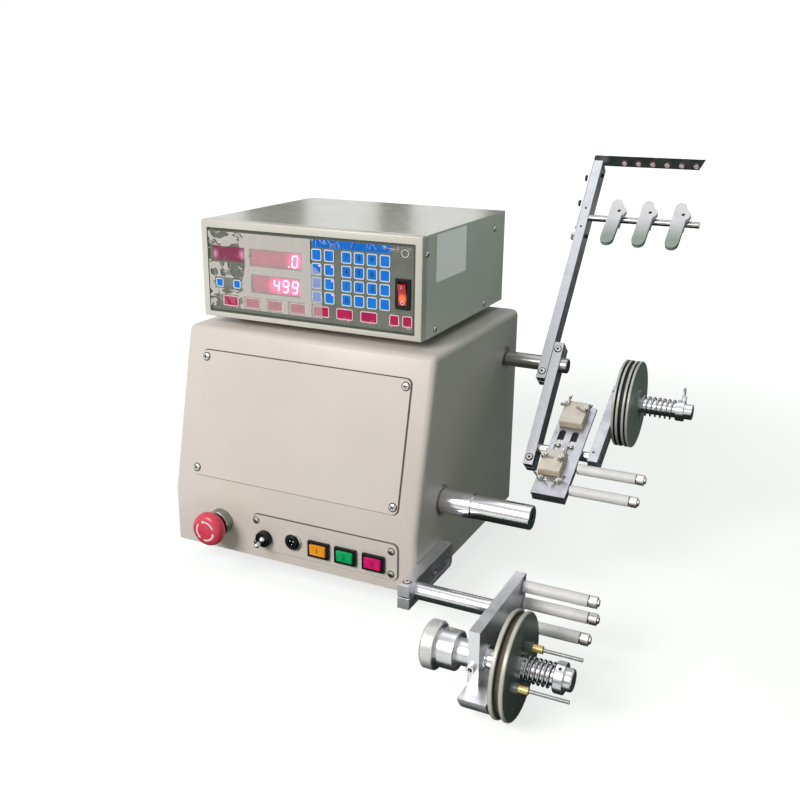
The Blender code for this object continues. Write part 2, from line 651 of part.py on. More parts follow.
def tab_loop(span, foot, crown, radius, steps=CORNER_STEPS):
    """A rectangle from foot to crown with its two corners at the crown round."""
    left, right = span
    side = math.copysign(1.0, crown - foot)
    middle = crown - side * radius
    turn = side * math.pi / 2
    loop = [(left, foot), (right, foot)]
    loop += arc((right - radius, middle), radius, 0.0, turn, steps)
    loop += arc((left + radius, middle), radius, turn, 2 * turn, steps)
    return loop


def grown(span, margin):
    return (span[0] - margin, span[1] + margin)


def frame_at(name, location, lean=0.0, parent=None):
    """An empty on a joint's axis. A lean tips its Z axis back from the upright, about X."""
    empty = bpy.data.objects.new(name, None)
    PARTS.objects.link(empty)
    empty.parent = parent
    empty.location = location
    empty.rotation_euler = (-lean, 0.0, 0.0)
    return empty


def piece(name, mesh, finish, frame=None):
    """A sub-part of the machine, modelled in its frame's axes."""
    mesh.name = name
    mesh.materials.clear()
    mesh.materials.append(finish)
    obj = bpy.data.objects.new(name, mesh)
    PARTS.objects.link(obj)
    obj.parent = frame
    return obj


def tool(mesh, frame=None, name="tool"):
    """A hidden solid that is cut from a piece or joined to it."""
    obj = bpy.data.objects.new(name, mesh)
    CUTTERS.objects.link(obj)
    obj.parent = frame
    obj.hide_render = True
    obj.display_type = "WIRE"
    return obj


def boolean(obj, mesh, operation):
    modifier = obj.modifiers.new(operation.title(), "BOOLEAN")
    modifier.operation = operation
    modifier.solver = "EXACT"
    modifier.object = tool(mesh, obj.parent, obj.name + "_" + operation.lower())
    return obj


def cut(obj, *meshes):
    for mesh in meshes:
        boolean(obj, mesh, "DIFFERENCE")
    return obj


def join(obj, *meshes):
    for mesh in meshes:
        boolean(obj, mesh, "UNION")
    return obj


def soften(obj, width, segments=2):
    bevel = obj.modifiers.new("Edge", "BEVEL")
    bevel.width = width
    bevel.segments = segments
    bevel.limit_method = "ANGLE"
    bevel.angle_limit = math.radians(40)
    return obj


def merged_blocks(spans):
    """One mesh that holds several blocks that don't touch."""
    bm = bmesh.new()
    for span_x, span_y, span_z in spans:
        mesh = block_mesh(span_x, span_y, span_z)
        bm.from_mesh(mesh)
        bpy.data.meshes.remove(mesh)
    mesh = bpy.data.meshes.new("blocks")
    bm.to_mesh(mesh)
    bm.free()
    return mesh


def cabinet_shell():
    """One folded sheet with front, slope, top and sides, open at the back and below."""
    outline = [(FRONT_Y, 0.0), (BACK_Y, 0.0), (BACK_Y, CABINET_HEIGHT),
               (FRONT_Y + SLOPE_SETBACK, CABINET_HEIGHT), (FRONT_Y, LOWER_FRONT_HEIGHT)]
    mesh = plate_mesh([outline], (-HALF_WIDTH, HALF_WIDTH), "X")
    bm = bmesh.new()
    bm.from_mesh(mesh)
    open_sides = [face for face in bm.faces if face.normal.z < -0.9 or face.normal.y > 0.9]
    bmesh.ops.delete(bm, geom=open_sides, context="FACES")
    bm.to_mesh(mesh)
    bm.free()
    shell = soften(piece("cabinet_shell", mesh, CREAM_PAINT), CABINET_BEND_RADIUS, 3)
    walls = shell.modifiers.new("Sheet", "SOLIDIFY")
    walls.thickness = SHEET
    walls.offset = -1.0
    walls.use_even_offset = True
    through_side = (INNER_SIDE - OVERRUN, HALF_WIDTH + OVERRUN)
    through_front = (FRONT_Y - OVERRUN, FRONT_Y + SHEET + OVERRUN)
    cut(shell,
        rod_mesh(through_side, SPINDLE_HOLE_RADIUS, "X", (0.0, SPINDLE_Y, SPINDLE_Z)),
        rod_mesh(through_side, TRAVERSE_HOLE_RADIUS, "X", (0.0, TRAVERSE_Y, TRAVERSE_Z)),
        rod_mesh(through_front, ESTOP_BARREL + RUNNING_GAP, "Y", (ESTOP_X, 0.0, ESTOP_Z)),
        block_mesh(grown(SWITCH_PLATE_SPAN, -SWITCH_OPENING_MARGIN), through_front,
                   grown(SWITCH_PLATE_HEIGHTS, -SWITCH_OPENING_MARGIN)))
    half_opening = COVER_WIDTH / 2 - COVER_OVERLAP
    opening = block_mesh((-half_opening, half_opening), (-OVERRUN, SHEET + OVERRUN),
                         (COVER_LOWER_EDGE + COVER_OVERLAP,
                          COVER_LOWER_EDGE + COVER_LENGTH - COVER_OVERLAP))
    opening.transform(Matrix.Translation((0.0, FRONT_Y,
                                          LOWER_FRONT_HEIGHT)) @ Matrix.Rotation(-SLOPE_ANGLE, 4, "X"))
    cut(shell, opening)
    for place in BOLT_PLACES:
        join(shell, rod_mesh((HALF_WIDTH - SINK, HALF_WIDTH + BOLT_LENGTH), BOLT_RADIUS, "X",
                             (0.0, FRONT_Y + place, BRACKET_SLOT_Z), SMALL_STEPS))


def cabinet_tray():
    """The base plate and the rear panel, one sheet bent once, with vents and the mains inlet's opening."""
    across = grown((-HALF_WIDTH, HALF_WIDTH), -SHEET - SEAT_GAP)
    front = FRONT_Y + SHEET + SEAT_GAP
    top = CABINET_HEIGHT - SHEET - SEAT_GAP
    rear = (BACK_Y - TRAY_THICKNESS, BACK_Y)
    base = plate_mesh([tab_loop(across, BACK_Y, front, CABINET_BEND_RADIUS)], (0.0, TRAY_THICKNESS),
                      "Z")
    tray = piece("cabinet_tray", base, ZINC_SHEET)
    join(tray, plate_mesh([tab_loop(across, TRAY_THICKNESS / 2, top, CABINET_BEND_RADIUS)], rear, "Y"))
    through = grown(rear, OVERRUN)
    half_vent = VENT_WIDTH / 2
    vents = []
    for number in range(VENT_COUNT):
        low = VENT_LOWEST + number * VENT_PITCH
        vents.append(((VENT_CENTRE_X - half_vent, VENT_CENTRE_X + half_vent), through,
                      (low, low + VENT_HEIGHT)))
    cut(tray, merged_blocks(vents))
    cut(tray, block_mesh(grown((INLET_X, INLET_X), INLET_WIDTH / 2 + SEAT_GAP), through,
                         grown((INLET_Z, INLET_Z), INLET_HEIGHT / 2 + SEAT_GAP)))


def power_inlet():
    """The mains inlet: a flange on the rear panel and a shell behind it, open to the back."""
    across = (INLET_X, INLET_X)
    up = (INLET_Z, INLET_Z)
    face = BACK_Y + SEAT_GAP
    flange = block_mesh(grown(across, INLET_WIDTH / 2 + INLET_FLANGE), (face, face + INLET_PROUD),
                        grown(up, INLET_HEIGHT / 2 + INLET_FLANGE))
    inlet = piece("power_inlet", flange, BLACK_PLASTIC)
    join(inlet, block_mesh(grown(across, INLET_WIDTH / 2), (BACK_Y - INLET_DEPTH, face + SINK),
                           grown(up, INLET_HEIGHT / 2)))
    cut(inlet, block_mesh(grown(across, INLET_WIDTH / 2 - INLET_WALL),
                          (BACK_Y - INLET_DEPTH + INLET_WALL, face + INLET_PROUD + OVERRUN),
                          grown(up, INLET_HEIGHT / 2 - INLET_WALL)))


def feet():
    """Four rubber feet under the base plate, tall enough to lift the hanging brake wheel off the table."""
    profile = [(-FOOT_HEIGHT, 0.0), (-FOOT_HEIGHT, FOOT_RADIUS - FOOT_TAPER - FOOT_ROUNDING),
               (-FOOT_HEIGHT + FOOT_ROUNDING, FOOT_RADIUS - FOOT_TAPER), (-SEAT_GAP,
                                                                          FOOT_RADIUS), (-SEAT_GAP,
                                                                                         0.0)]
    across = HALF_WIDTH - FOOT_INSET
    places = {
        "foot_front_left": (-across, FRONT_Y + FRONT_FOOT_FROM_FRONT, 0.0),
        "foot_front_right": (across, FRONT_Y + FRONT_FOOT_FROM_FRONT, 0.0),
        "foot_rear_left": (-across, FRONT_Y + REAR_FOOT_FROM_FRONT, 0.0),
        "foot_rear_right": (across, FRONT_Y + REAR_FOOT_FROM_FRONT, 0.0),
    }
    for name, centre in places.items():
        piece(name, turned_mesh(profile, axis="Z", centre=centre), BLACK_RUBBER)


def access_cover():
    """The flat cover on the sloping front."""
    slope = frame_at("slope_frame", (0.0, FRONT_Y, LOWER_FRONT_HEIGHT), SLOPE_ANGLE)
    outline = rounded_loop((-COVER_WIDTH / 2, COVER_WIDTH / 2),
                           (COVER_LOWER_EDGE, COVER_LOWER_EDGE + COVER_LENGTH), COVER_CORNER)
    piece("access_cover", plate_mesh([outline], (-SEAT_GAP - SHEET, -SEAT_GAP), "Y"), CREAM_PAINT,
          slope)


def switch_plate():
    """The plate below the cover, with openings for the buttons, the socket and the toggle."""
    half_barrel = BEZEL_WIDTH / 2 - BEZEL_BARREL_INSET + SEAT_GAP
    half_barrel_height = BEZEL_HEIGHT / 2 - BEZEL_BARREL_INSET + SEAT_GAP
    loops = [rounded_loop(SWITCH_PLATE_SPAN, SWITCH_PLATE_HEIGHTS, SWITCH_PLATE_CORNER)]
    for place in BUTTON_PLACES:
        loops.append([(place - half_barrel, BUTTON_Z - half_barrel_height),
                      (place - half_barrel, BUTTON_Z + half_barrel_height),
                      (place + half_barrel, BUTTON_Z + half_barrel_height),
                      (place + half_barrel, BUTTON_Z - half_barrel_height)])
    loops.append(circle_loop((SOCKET_X, SOCKET_Z), SOCKET_BARREL + SEAT_GAP, SMALL_STEPS))
    loops.append(circle_loop((TOGGLE_X, TOGGLE_Z), TOGGLE_BARREL + SEAT_GAP, SMALL_STEPS))
    piece("switch_plate", plate_mesh(loops, (SWITCH_PLATE_FACE, FRONT_Y - SEAT_GAP), "Y"), CREAM_PAINT)


def push_buttons():
    """Three lit push buttons, each a cap that travels in a bezel with its barrel through the plate."""
    finishes = {"yellow": YELLOW_PLASTIC, "green": GREEN_PLASTIC, "magenta": MAGENTA_PLASTIC}
    seat = SWITCH_PLATE_FACE - SEAT_GAP
    for (colour, finish), place in zip(finishes.items(), BUTTON_PLACES):
        across = (place, place)
        up = (BUTTON_Z, BUTTON_Z)
        flange = block_mesh(grown(across, BEZEL_WIDTH / 2), (seat - BEZEL_PROUD, seat),
                            grown(up, BEZEL_HEIGHT / 2))
        bezel = piece("bezel_" + colour, flange, BLACK_PLASTIC)
        join(bezel, block_mesh(grown(across, BEZEL_WIDTH / 2 - BEZEL_BARREL_INSET),
                               (seat - SINK, FRONT_Y + BEZEL_BARREL_DEPTH),
                               grown(up, BEZEL_HEIGHT / 2 - BEZEL_BARREL_INSET)))
        cap_back = seat - BUTTON_PROUD + BUTTON_DEPTH
        cut(bezel, block_mesh(grown(across, BEZEL_WIDTH / 2 - BUTTON_RIM + RUNNING_GAP),
                              (seat - BEZEL_PROUD - OVERRUN, cap_back + BUTTON_TRAVEL + RUNNING_GAP),
                              grown(up, BEZEL_HEIGHT / 2 - BUTTON_RIM + RUNNING_GAP)))
        frame = frame_at("button_frame_" + colour, (place, seat, BUTTON_Z))
        half = BEZEL_WIDTH / 2 - BUTTON_RIM
        half_height = BEZEL_HEIGHT / 2 - BUTTON_RIM
        cap = block_mesh((-half, half), (-BUTTON_PROUD, BUTTON_DEPTH - BUTTON_PROUD),
                         (-half_height, half_height))
        soften(piece("button_" + colour, cap, finish, frame), BUTTON_EDGE, 1)


def pedal_socket():
    """The round socket for the foot pedal's lead."""
    seat = SWITCH_PLATE_FACE - SEAT_GAP
    back = FRONT_Y + SOCKET_DEPTH
    outer = [(seat - SOCKET_PROUD, SOCKET_RADIUS - SOCKET_WALL / 2),
             (seat - SOCKET_PROUD + SOCKET_WALL / 2, SOCKET_RADIUS),
             (seat, SOCKET_RADIUS), (seat, SOCKET_BARREL), (back, SOCKET_BARREL), (back, 0.0)]
    floor = seat + SOCKET_WALL
    bore = SOCKET_BARREL - SOCKET_WALL
    inner = [(seat - SOCKET_PROUD, bore), (floor, bore), (floor, 0.0)]
    mesh = turned_cup(outer, inner, (SOCKET_X, 0.0, SOCKET_Z))
    piece("pedal_socket", mesh, GROUND_STEEL)


def turned_cup(outer, inner, centre, axis="Y", steps=SMALL_STEPS):
    """A turned shape with a blind hole at its low end. The inner profile runs from the mouth to the axis."""
    return turned_mesh(list(reversed(inner)) + list(outer), axis=axis, centre=centre, steps=steps)


def toggle_switch():
    """The toggle's round body, and its lever, whose ball turns in the mouth of the body."""
    seat = SWITCH_PLATE_FACE - SEAT_GAP
    mouth = seat - TOGGLE_PROUD
    outer = [(mouth, TOGGLE_RADIUS - TOGGLE_MOUTH / 4), (mouth + TOGGLE_MOUTH / 4, TOGGLE_RADIUS),
             (seat, TOGGLE_RADIUS),
             (seat, TOGGLE_BARREL), (FRONT_Y + TOGGLE_DEPTH, TOGGLE_BARREL), (FRONT_Y + TOGGLE_DEPTH,
                                                                              0.0)]
    inner = [(mouth, TOGGLE_MOUTH), (mouth + TOGGLE_MOUTH_DEPTH, TOGGLE_MOUTH),
             (mouth + TOGGLE_MOUTH_DEPTH, 0.0)]
    piece("toggle_switch_body", turned_cup(outer, inner, (TOGGLE_X, 0.0, TOGGLE_Z)), BLACK_PLASTIC)
    pivot = mouth + TOGGLE_MOUTH_DEPTH - LEVER_BALL_RADIUS - RUNNING_GAP
    frame = frame_at("toggle_frame", (TOGGLE_X, pivot, TOGGLE_Z))
    shank = LEVER_LENGTH - LEVER_TIP_LENGTH
    root = math.asin(LEVER_RADIUS / LEVER_BALL_RADIUS)
    ball = arc((0.0, 0.0), LEVER_BALL_RADIUS, math.pi - root, 0.0, BALL_STEPS)
    profile = [(-LEVER_LENGTH, 0.0), (-LEVER_LENGTH, LEVER_TIP_RADIUS / 2),
               (-LEVER_LENGTH + LEVER_TIP_RADIUS / 2, LEVER_TIP_RADIUS), (-shank,
                                                                          LEVER_TIP_RADIUS)] + ball
    lever = turned_mesh(profile, axis="Y", steps=SMALL_STEPS)
    lever.transform(Matrix.Rotation(LEVER_TILT, 4, "X"))
    piece("toggle_lever", lever, GROUND_STEEL, frame)


def emergency_stop():
    """The stop button's collar with its barrel through the front, and the mushroom head that pushes in."""
    frame = frame_at("estop_frame", (ESTOP_X, FRONT_Y, ESTOP_Z))
    seat = -SEAT_GAP
    mouth = seat - ESTOP_COLLAR_PROUD
    outer = [(mouth, ESTOP_COLLAR_RADIUS - SINK), (mouth + SINK, ESTOP_COLLAR_RADIUS),
             (seat, ESTOP_COLLAR_RADIUS),
             (seat, ESTOP_BARREL), (ESTOP_DEPTH, ESTOP_BARREL), (ESTOP_DEPTH, 0.0)]
    bore = ESTOP_STEM + RUNNING_GAP
    inner = [(mouth, bore), (mouth + ESTOP_SOCKET_DEPTH, bore), (mouth + ESTOP_SOCKET_DEPTH, 0.0)]
    collar = turned_cup(outer, inner, (0.0, 0.0, 0.0), steps=MEDIUM_STEPS)
    piece("estop_collar", collar, ALUMINIUM, frame)
    stem_end = mouth + ESTOP_SOCKET_DEPTH - ESTOP_TRAVEL - RUNNING_GAP
    rim = (ESTOP_HEAD_FRONT - ESTOP_HEAD_BACK) / 2
    dome = arc((-ESTOP_HEAD_FRONT + rim, ESTOP_HEAD_RADIUS - rim), rim, math.pi, math.pi / 2,
               DOME_STEPS)
    skirt = arc((-ESTOP_HEAD_BACK - rim / 2, ESTOP_HEAD_RADIUS - rim / 2), rim / 2, math.pi / 2, 0.0, 2)
    profile = [(-ESTOP_HEAD_FRONT, 0.0)] + dome + skirt
    profile += [(-ESTOP_HEAD_BACK, ESTOP_STEM), (stem_end, ESTOP_STEM), (stem_end, 0.0)]
    piece("estop_head", turned_mesh(profile, axis="Y"), RED_PLASTIC, frame)


def box_chassis():
    """The control box's bottom and back, one bent sheet, standing on four feet on the cabinet's top."""
    front = FRAME_BACK_Y + SEAT_GAP
    left = -BOX_LEFT + SHEET + SEAT_GAP
    right = BOX_RIGHT - SHEET - SEAT_GAP
    top = BOX_TOP - SHEET - SEAT_GAP
    outline = [(front, BOX_BOTTOM), (BOX_BACK_Y, BOX_BOTTOM), (BOX_BACK_Y, top),
               (BOX_BACK_Y - SHEET, top),
               (BOX_BACK_Y - SHEET, BOX_BOTTOM + SHEET), (front, BOX_BOTTOM + SHEET)]
    chassis = piece("box_chassis", plate_mesh([outline], (left, right), "X"), GREY_PAINT)
    for x in (left + BOX_FOOT_INSET, right - BOX_FOOT_INSET):
        for y in (front + BOX_FOOT_INSET, BOX_BACK_Y - 2 * BOX_FOOT_INSET):
            join(chassis, rod_mesh((CABINET_HEIGHT + SEAT_GAP, BOX_BOTTOM + SHEET / 2), BOX_FOOT_RADIUS,
                                   "Z",
                                   (x, y, 0.0), SMALL_STEPS))


def box_cover():
    """The control box's lid: two sides and the top, folded from one sheet."""
    low = BOX_BOTTOM
    high = BOX_TOP
    left = -BOX_LEFT
    right = BOX_RIGHT
    outer = [(left, low), (left, high), (right, high), (right, low)]
    inner = [(right - SHEET, low), (right - SHEET, high - SHEET), (left + SHEET, high - SHEET),
             (left + SHEET, low)]
    mesh = plate_mesh([outer + inner], (FRAME_BACK_Y + SEAT_GAP, BOX_BACK_Y), "Y")
    piece("box_cover", mesh, CREAM_PAINT)


def panel_opening():
    across = (-BOX_LEFT - FRAME_LEFT_PROUD + FRAME_SIDE_RAIL, BOX_RIGHT - FRAME_SIDE_RAIL)
    up = (BOX_BOTTOM + FRAME_LOWER_RAIL, BOX_TOP - FRAME_UPPER_RAIL)
    return across, up


def box_front_frame():
    """The moulded frame round the key panel, with a ledge behind the panel."""
    across, up = panel_opening()
    frame = block_mesh((-BOX_LEFT - FRAME_LEFT_PROUD, BOX_RIGHT), (BOX_FRONT_Y, FRAME_BACK_Y),
                       (BOX_BOTTOM, BOX_TOP))
    frame = soften(piece("box_front_frame", frame, CREAM_PAINT), FRAME_ROUNDING)
    cut(frame, block_mesh(across, (BOX_FRONT_Y - OVERRUN, PANEL_BACK_Y + SEAT_GAP), up))
    cut(frame, block_mesh(grown(across, -FRAME_DEPTH / 4), (BOX_FRONT_Y, FRAME_BACK_Y + OVERRUN),
                          grown(up, -FRAME_DEPTH / 4)))


def key_places():
    """The middle and size of every raised key on the panel."""
    keys = []
    for row in range(KEY_ROWS):
        z = TOP_KEY_ROW_Z - row * KEY_PITCH
        for column in range(2):
            keys.append((FUNCTION_KEYS_X + column * KEY_PITCH, z, KEY_WIDTH, KEY_HEIGHT))
        for column in range(4):
            keys.append((KEYPAD_X + column * KEY_PITCH, z, KEY_WIDTH, KEY_HEIGHT))
    for number in range(LOWER_KEY_COUNT):
        keys.append((LOWER_KEYS_FIRST_X + number * LOWER_KEYS_PITCH, LOWER_KEYS_Z, LOWER_KEY_WIDTH,
                     LOWER_KEY_HEIGHT))
    for x in SMALL_KEYS_X:
        keys.append((x, LOWER_KEYS_Z, SMALL_KEY_WIDTH, LOWER_KEY_HEIGHT))
    for x in SIDE_KEYS_X:
        keys.append((x, SIDE_KEYS_Z, SIDE_KEY_SIZE, SIDE_KEY_SIZE))
    return keys


def key_panel():
    """The membrane panel with its raised keys, sunk display windows and the rocker switch's opening."""
    across, up = panel_opening()
    panel = piece("key_panel", block_mesh(grown(across, -SEAT_GAP), (PANEL_FRONT_Y, PANEL_BACK_Y),
                                          grown(up, -SEAT_GAP)),
                  PANEL_FILM)
    raised = [((x - width / 2, x + width / 2), (PANEL_FRONT_Y - KEY_RELIEF, PANEL_FRONT_Y + KEY_RELIEF),
               (z - height / 2, z + height / 2)) for x, z, width, height in key_places()]
    join(panel, merged_blocks(raised))
    windows = [(span_x, (PANEL_FRONT_Y - OVERRUN, PANEL_FRONT_Y + WINDOW_DEPTH), span_z)
               for span_x, span_z in (LEFT_WINDOW, UPPER_WINDOW, LOWER_WINDOW)]
    cut(panel, merged_blocks(windows))
    span_x, span_z = ROCKER_BEZEL_SPAN
    cut(panel, block_mesh(grown(span_x, -ROCKER_RIM + SEAT_GAP),
                          (PANEL_FRONT_Y - OVERRUN, PANEL_BACK_Y + OVERRUN),
                          grown(span_z, -ROCKER_RIM + SEAT_GAP)))


def power_switch():
    """The mains rocker in its bezel, whose barrel goes through the key panel."""
    span_x, span_z = ROCKER_BEZEL_SPAN
    seat = PANEL_FRONT_Y - SEAT_GAP
    bezel = piece("rocker_bezel", block_mesh(span_x, (seat - ROCKER_BEZEL_PROUD, seat), span_z),
                  BLACK_PLASTIC)
    barrel_back = PANEL_FRONT_Y + ROCKER_BARREL_DEPTH
    join(bezel, block_mesh(grown(span_x, -ROCKER_RIM), (seat - SINK, barrel_back),
                           grown(span_z, -ROCKER_RIM)))
    cut(bezel, block_mesh(grown(span_x, -ROCKER_RIM - SHEET + RUNNING_GAP),
                          (seat - ROCKER_BEZEL_PROUD - OVERRUN, barrel_back - SHEET),
                          grown(span_z, -ROCKER_RIM - SHEET + RUNNING_GAP)))
    middle_x = (span_x[0] + span_x[1]) / 2
    middle_z = (span_z[0] + span_z[1]) / 2
    frame = frame_at("rocker_frame", (middle_x, seat + ROCKER_AXIS_DEPTH, middle_z))
    half = (span_x[1] - span_x[0]) / 2 - ROCKER_RIM - SHEET
    back = ROCKER_THICKNESS / 2
    front = -ROCKER_BEZEL_PROUD - ROCKER_AXIS_DEPTH
    swing = (back - front) * math.sin(ROCKER_TILT)
    half_height = (span_z[1] - span_z[0]) / 2 - ROCKER_RIM - SHEET - swing
    wing = half_height * math.tan(ROCKER_TILT)
    outline = [(front, 0.0), (front - wing, half_height), (back, half_height),
               (back, -half_height), (front - wing, -half_height)]
    rocker = plate_mesh([outline], (-half, half), "X")
    rocker.transform(Matrix.Rotation(ROCKER_TILT, 4, "X"))
    piece("power_rocker", rocker, RED_PLASTIC, frame)


def spindle():
    """The winding spindle, its bearing housing on the base plate and the geared motor behind it."""
    frame = frame_at("spindle_frame", (0.0, SPINDLE_Y, SPINDLE_Z))
    housing_right = INNER_SIDE
    housing_left = housing_right - HOUSING_LENGTH
    motor_right = housing_left - HOUSING_TO_MOTOR
    tail = motor_right - SPINDLE_TAIL_ENTRY
    root = housing_right + RUNNING_GAP
    root_end = HALF_WIDTH + SPINDLE_ROOT_REACH
    nose = root_end + SPINDLE_GROOVE
    end = nose + SPINDLE_NOSE_LENGTH
    outer = [(tail, 0.0), (tail, SPINDLE_TAIL_RADIUS), (root, SPINDLE_TAIL_RADIUS),
             (root, SPINDLE_ROOT_RADIUS),
             (root_end, SPINDLE_ROOT_RADIUS), (root_end, SPINDLE_GROOVE_RADIUS),
             (nose, SPINDLE_GROOVE_RADIUS),
             (nose, SPINDLE_NOSE_RADIUS), (end - SPINDLE_EDGE, SPINDLE_NOSE_RADIUS),
             (end, SPINDLE_NOSE_RADIUS - SPINDLE_EDGE), (end, SPINDLE_CENTRE_HOLE),
             (end - SPINDLE_CENTRE_DEPTH, SPINDLE_CENTRE_HOLE), (end - SPINDLE_CENTRE_DEPTH, 0.0)]
    piece("spindle_shaft", turned_mesh(outer), GROUND_STEEL, frame)
    centre = (0.0, SPINDLE_Y, SPINDLE_Z)
    base = TRAY_TOP + SEAT_GAP
    housing = piece("spindle_housing", block_mesh((housing_left, housing_right),
                                                  grown((SPINDLE_Y, SPINDLE_Y), HOUSING_HALF_WIDTH),
                                                  (base, SPINDLE_Z + HOUSING_HALF_WIDTH)), ALUMINIUM)
    cut(housing, rod_mesh((housing_left - OVERRUN, housing_right + OVERRUN),
                          SPINDLE_TAIL_RADIUS + RUNNING_GAP,
                          "X", centre))
    motor_left = motor_right - DRIVE_MOTOR_LENGTH
    motor = piece("drive_motor", rod_mesh((motor_left, motor_right), DRIVE_MOTOR_RADIUS, "X", centre),
                  BLACK_PLASTIC)
    inset = DRIVE_MOTOR_LENGTH / 10
    join(motor, block_mesh((motor_left + inset, motor_right - inset),
                           grown((SPINDLE_Y, SPINDLE_Y), MOTOR_FOOT_HALF_WIDTH),
                           (base, SPINDLE_Z)))
    cut(motor, rod_mesh((tail - RUNNING_GAP, motor_right + OVERRUN), SPINDLE_TAIL_RADIUS + RUNNING_GAP,
                        "X", centre))


def traverse():
    """The shaft that carries the wire guide along X, its housing, and the motor and screw that move it."""
    axis = frame_at("traverse_frame", (0.0, TRAVERSE_Y, TRAVERSE_Z))
    end = LINK_RIGHT + SHAFT_END_REACH
    outer = [(TRAVERSE_TAIL_X, TRAVERSE_SHAFT_RADIUS), (end - SHAFT_EDGE, TRAVERSE_SHAFT_RADIUS),
             (end, TRAVERSE_SHAFT_RADIUS - SHAFT_EDGE), (end, 0.0)]
    bore_end = TRAVERSE_TAIL_X + TRAVERSE_BORE_DEPTH
    inner = [(TRAVERSE_TAIL_X, TRAVERSE_BORE_RADIUS), (bore_end, TRAVERSE_BORE_RADIUS), (bore_end, 0.0)]
    piece("traverse_shaft", turned_cup(outer, inner, (0.0, 0.0, 0.0), "X", MEDIUM_STEPS), GROUND_STEEL,
          axis)
    centre = (0.0, TRAVERSE_Y, TRAVERSE_Z)
    across = (TRAVERSE_Y, TRAVERSE_Y)
    up = (TRAVERSE_Z, TRAVERSE_Z)
    span = (INNER_SIDE - TRAVERSE_HOUSING_LENGTH, INNER_SIDE)
    housing = piece("traverse_housing", block_mesh(span, grown(across, TRAVERSE_HOUSING_HALF),
                                                   grown(up, TRAVERSE_HOUSING_HALF)), ALUMINIUM)
    cut(housing, rod_mesh(grown(span, OVERRUN), TRAVERSE_SHAFT_RADIUS + RUNNING_GAP, "X", centre))
    motor_left = TRAVERSE_MOTOR_RIGHT - TRAVERSE_MOTOR_LENGTH
    motor_span = (motor_left, TRAVERSE_MOTOR_RIGHT)
    motor = piece("traverse_motor", block_mesh(motor_span, grown(across, TRAVERSE_MOTOR_HALF),
                                               grown(up, TRAVERSE_MOTOR_HALF)), BLACK_PLASTIC)
    join(motor, block_mesh(grown(motor_span, -TRAVERSE_MOTOR_LENGTH / 4),
                           (TRAVERSE_Y, BACK_Y - TRAY_THICKNESS - SEAT_GAP),
                           grown(up, TRAVERSE_MOTOR_HALF / 2)))
    screw_left = TRAVERSE_MOTOR_RIGHT - LEAD_SCREW_ENTRY
    cut(motor, rod_mesh((screw_left - RUNNING_GAP, TRAVERSE_MOTOR_RIGHT + OVERRUN),
                        LEAD_SCREW_RADIUS + RUNNING_GAP, "X", centre, SMALL_STEPS))
    piece("lead_screw", rod_mesh((screw_left, TRAVERSE_MOTOR_RIGHT + LEAD_SCREW_REACH),
                                 LEAD_SCREW_RADIUS,
                                 steps=SMALL_STEPS), GROUND_STEEL, axis)
    return axis


def clamp_bar(name, span_x, span_u, holes, slits, frame):
    """A square bar with clamp bores along X and a slit from each bore to the bar's near end."""
    bar = piece(name, block_mesh(span_x, (-HALF_BAR, HALF_BAR), span_u), ALUMINIUM, frame)
    for place, radius in holes:
        cut(bar, rod_mesh(grown(span_x, OVERRUN), radius + RUNNING_GAP, "X", (0.0, 0.0, place)))
    for low, high in slits:
        cut(bar, block_mesh(grown(span_x, OVERRUN), (-CLAMP_SLIT / 2, CLAMP_SLIT / 2), (low, high)))
    return bar


def mast(traverse_frame):
    """The leaning bar with the eyelet strip on its left face and the guide rod on its right."""
    frame = frame_at("mast_frame", (0.0, 0.0, 0.0), BAR_LEAN, traverse_frame)
    clamp_bar("mast_bar", (MAST_LEFT, MAST_RIGHT), (-MAST_TAIL, MAST_LENGTH),
              [(0.0, TRAVERSE_SHAFT_RADIUS)],
              [(-MAST_TAIL - OVERRUN, 0.0)], frame)
    strip_right = MAST_LEFT - SEAT_GAP
    strip_left = strip_right - STRIP_THICKNESS
    strip_top = MAST_LENGTH + STRIP_RISE
    outline = [(strip_left, STRIP_FOOT), (strip_right, STRIP_FOOT),
               (strip_right, strip_top - STRIP_THICKNESS),
               (STRIP_END_FRONT, strip_top - STRIP_THICKNESS), (STRIP_END_FRONT,
                                                                strip_top), (strip_left, strip_top)]
    strip = piece("eyelet_strip", plate_mesh([outline], (-HALF_BAR, HALF_BAR), "Y"), ALUMINIUM, frame)
    through = (strip_top - STRIP_THICKNESS - OVERRUN, strip_top + OVERRUN)
    corner = [(STRIP_END_FRONT, -HALF_BAR), (STRIP_END_FRONT + OVERRUN, HALF_BAR + OVERRUN),
              (STRIP_END_FRONT - STRIP_END_SLANT,
               HALF_BAR + OVERRUN), (STRIP_END_FRONT - STRIP_END_SLANT, HALF_BAR)]
    cut(strip, plate_mesh([corner], through, "Z"))
    for number in range(EYELET_COUNT):
        centre = (EYELET_FIRST_X + number * EYELET_PITCH, EYELET_SETBACK, 0.0)
        cut(strip, rod_mesh(through, EYELET_HOLE, "Z", centre, SMALL_STEPS))
    piece("guide_rod", rod_mesh((MAST_RIGHT + SEAT_GAP, GUIDE_ROD_END), GUIDE_ROD_RADIUS, "X",
                                (0.0, -GUIDE_ROD_AHEAD, GUIDE_ROD_HEIGHT), SMALL_STEPS), GROUND_STEEL,
                                frame)
    guide_fingers(frame)


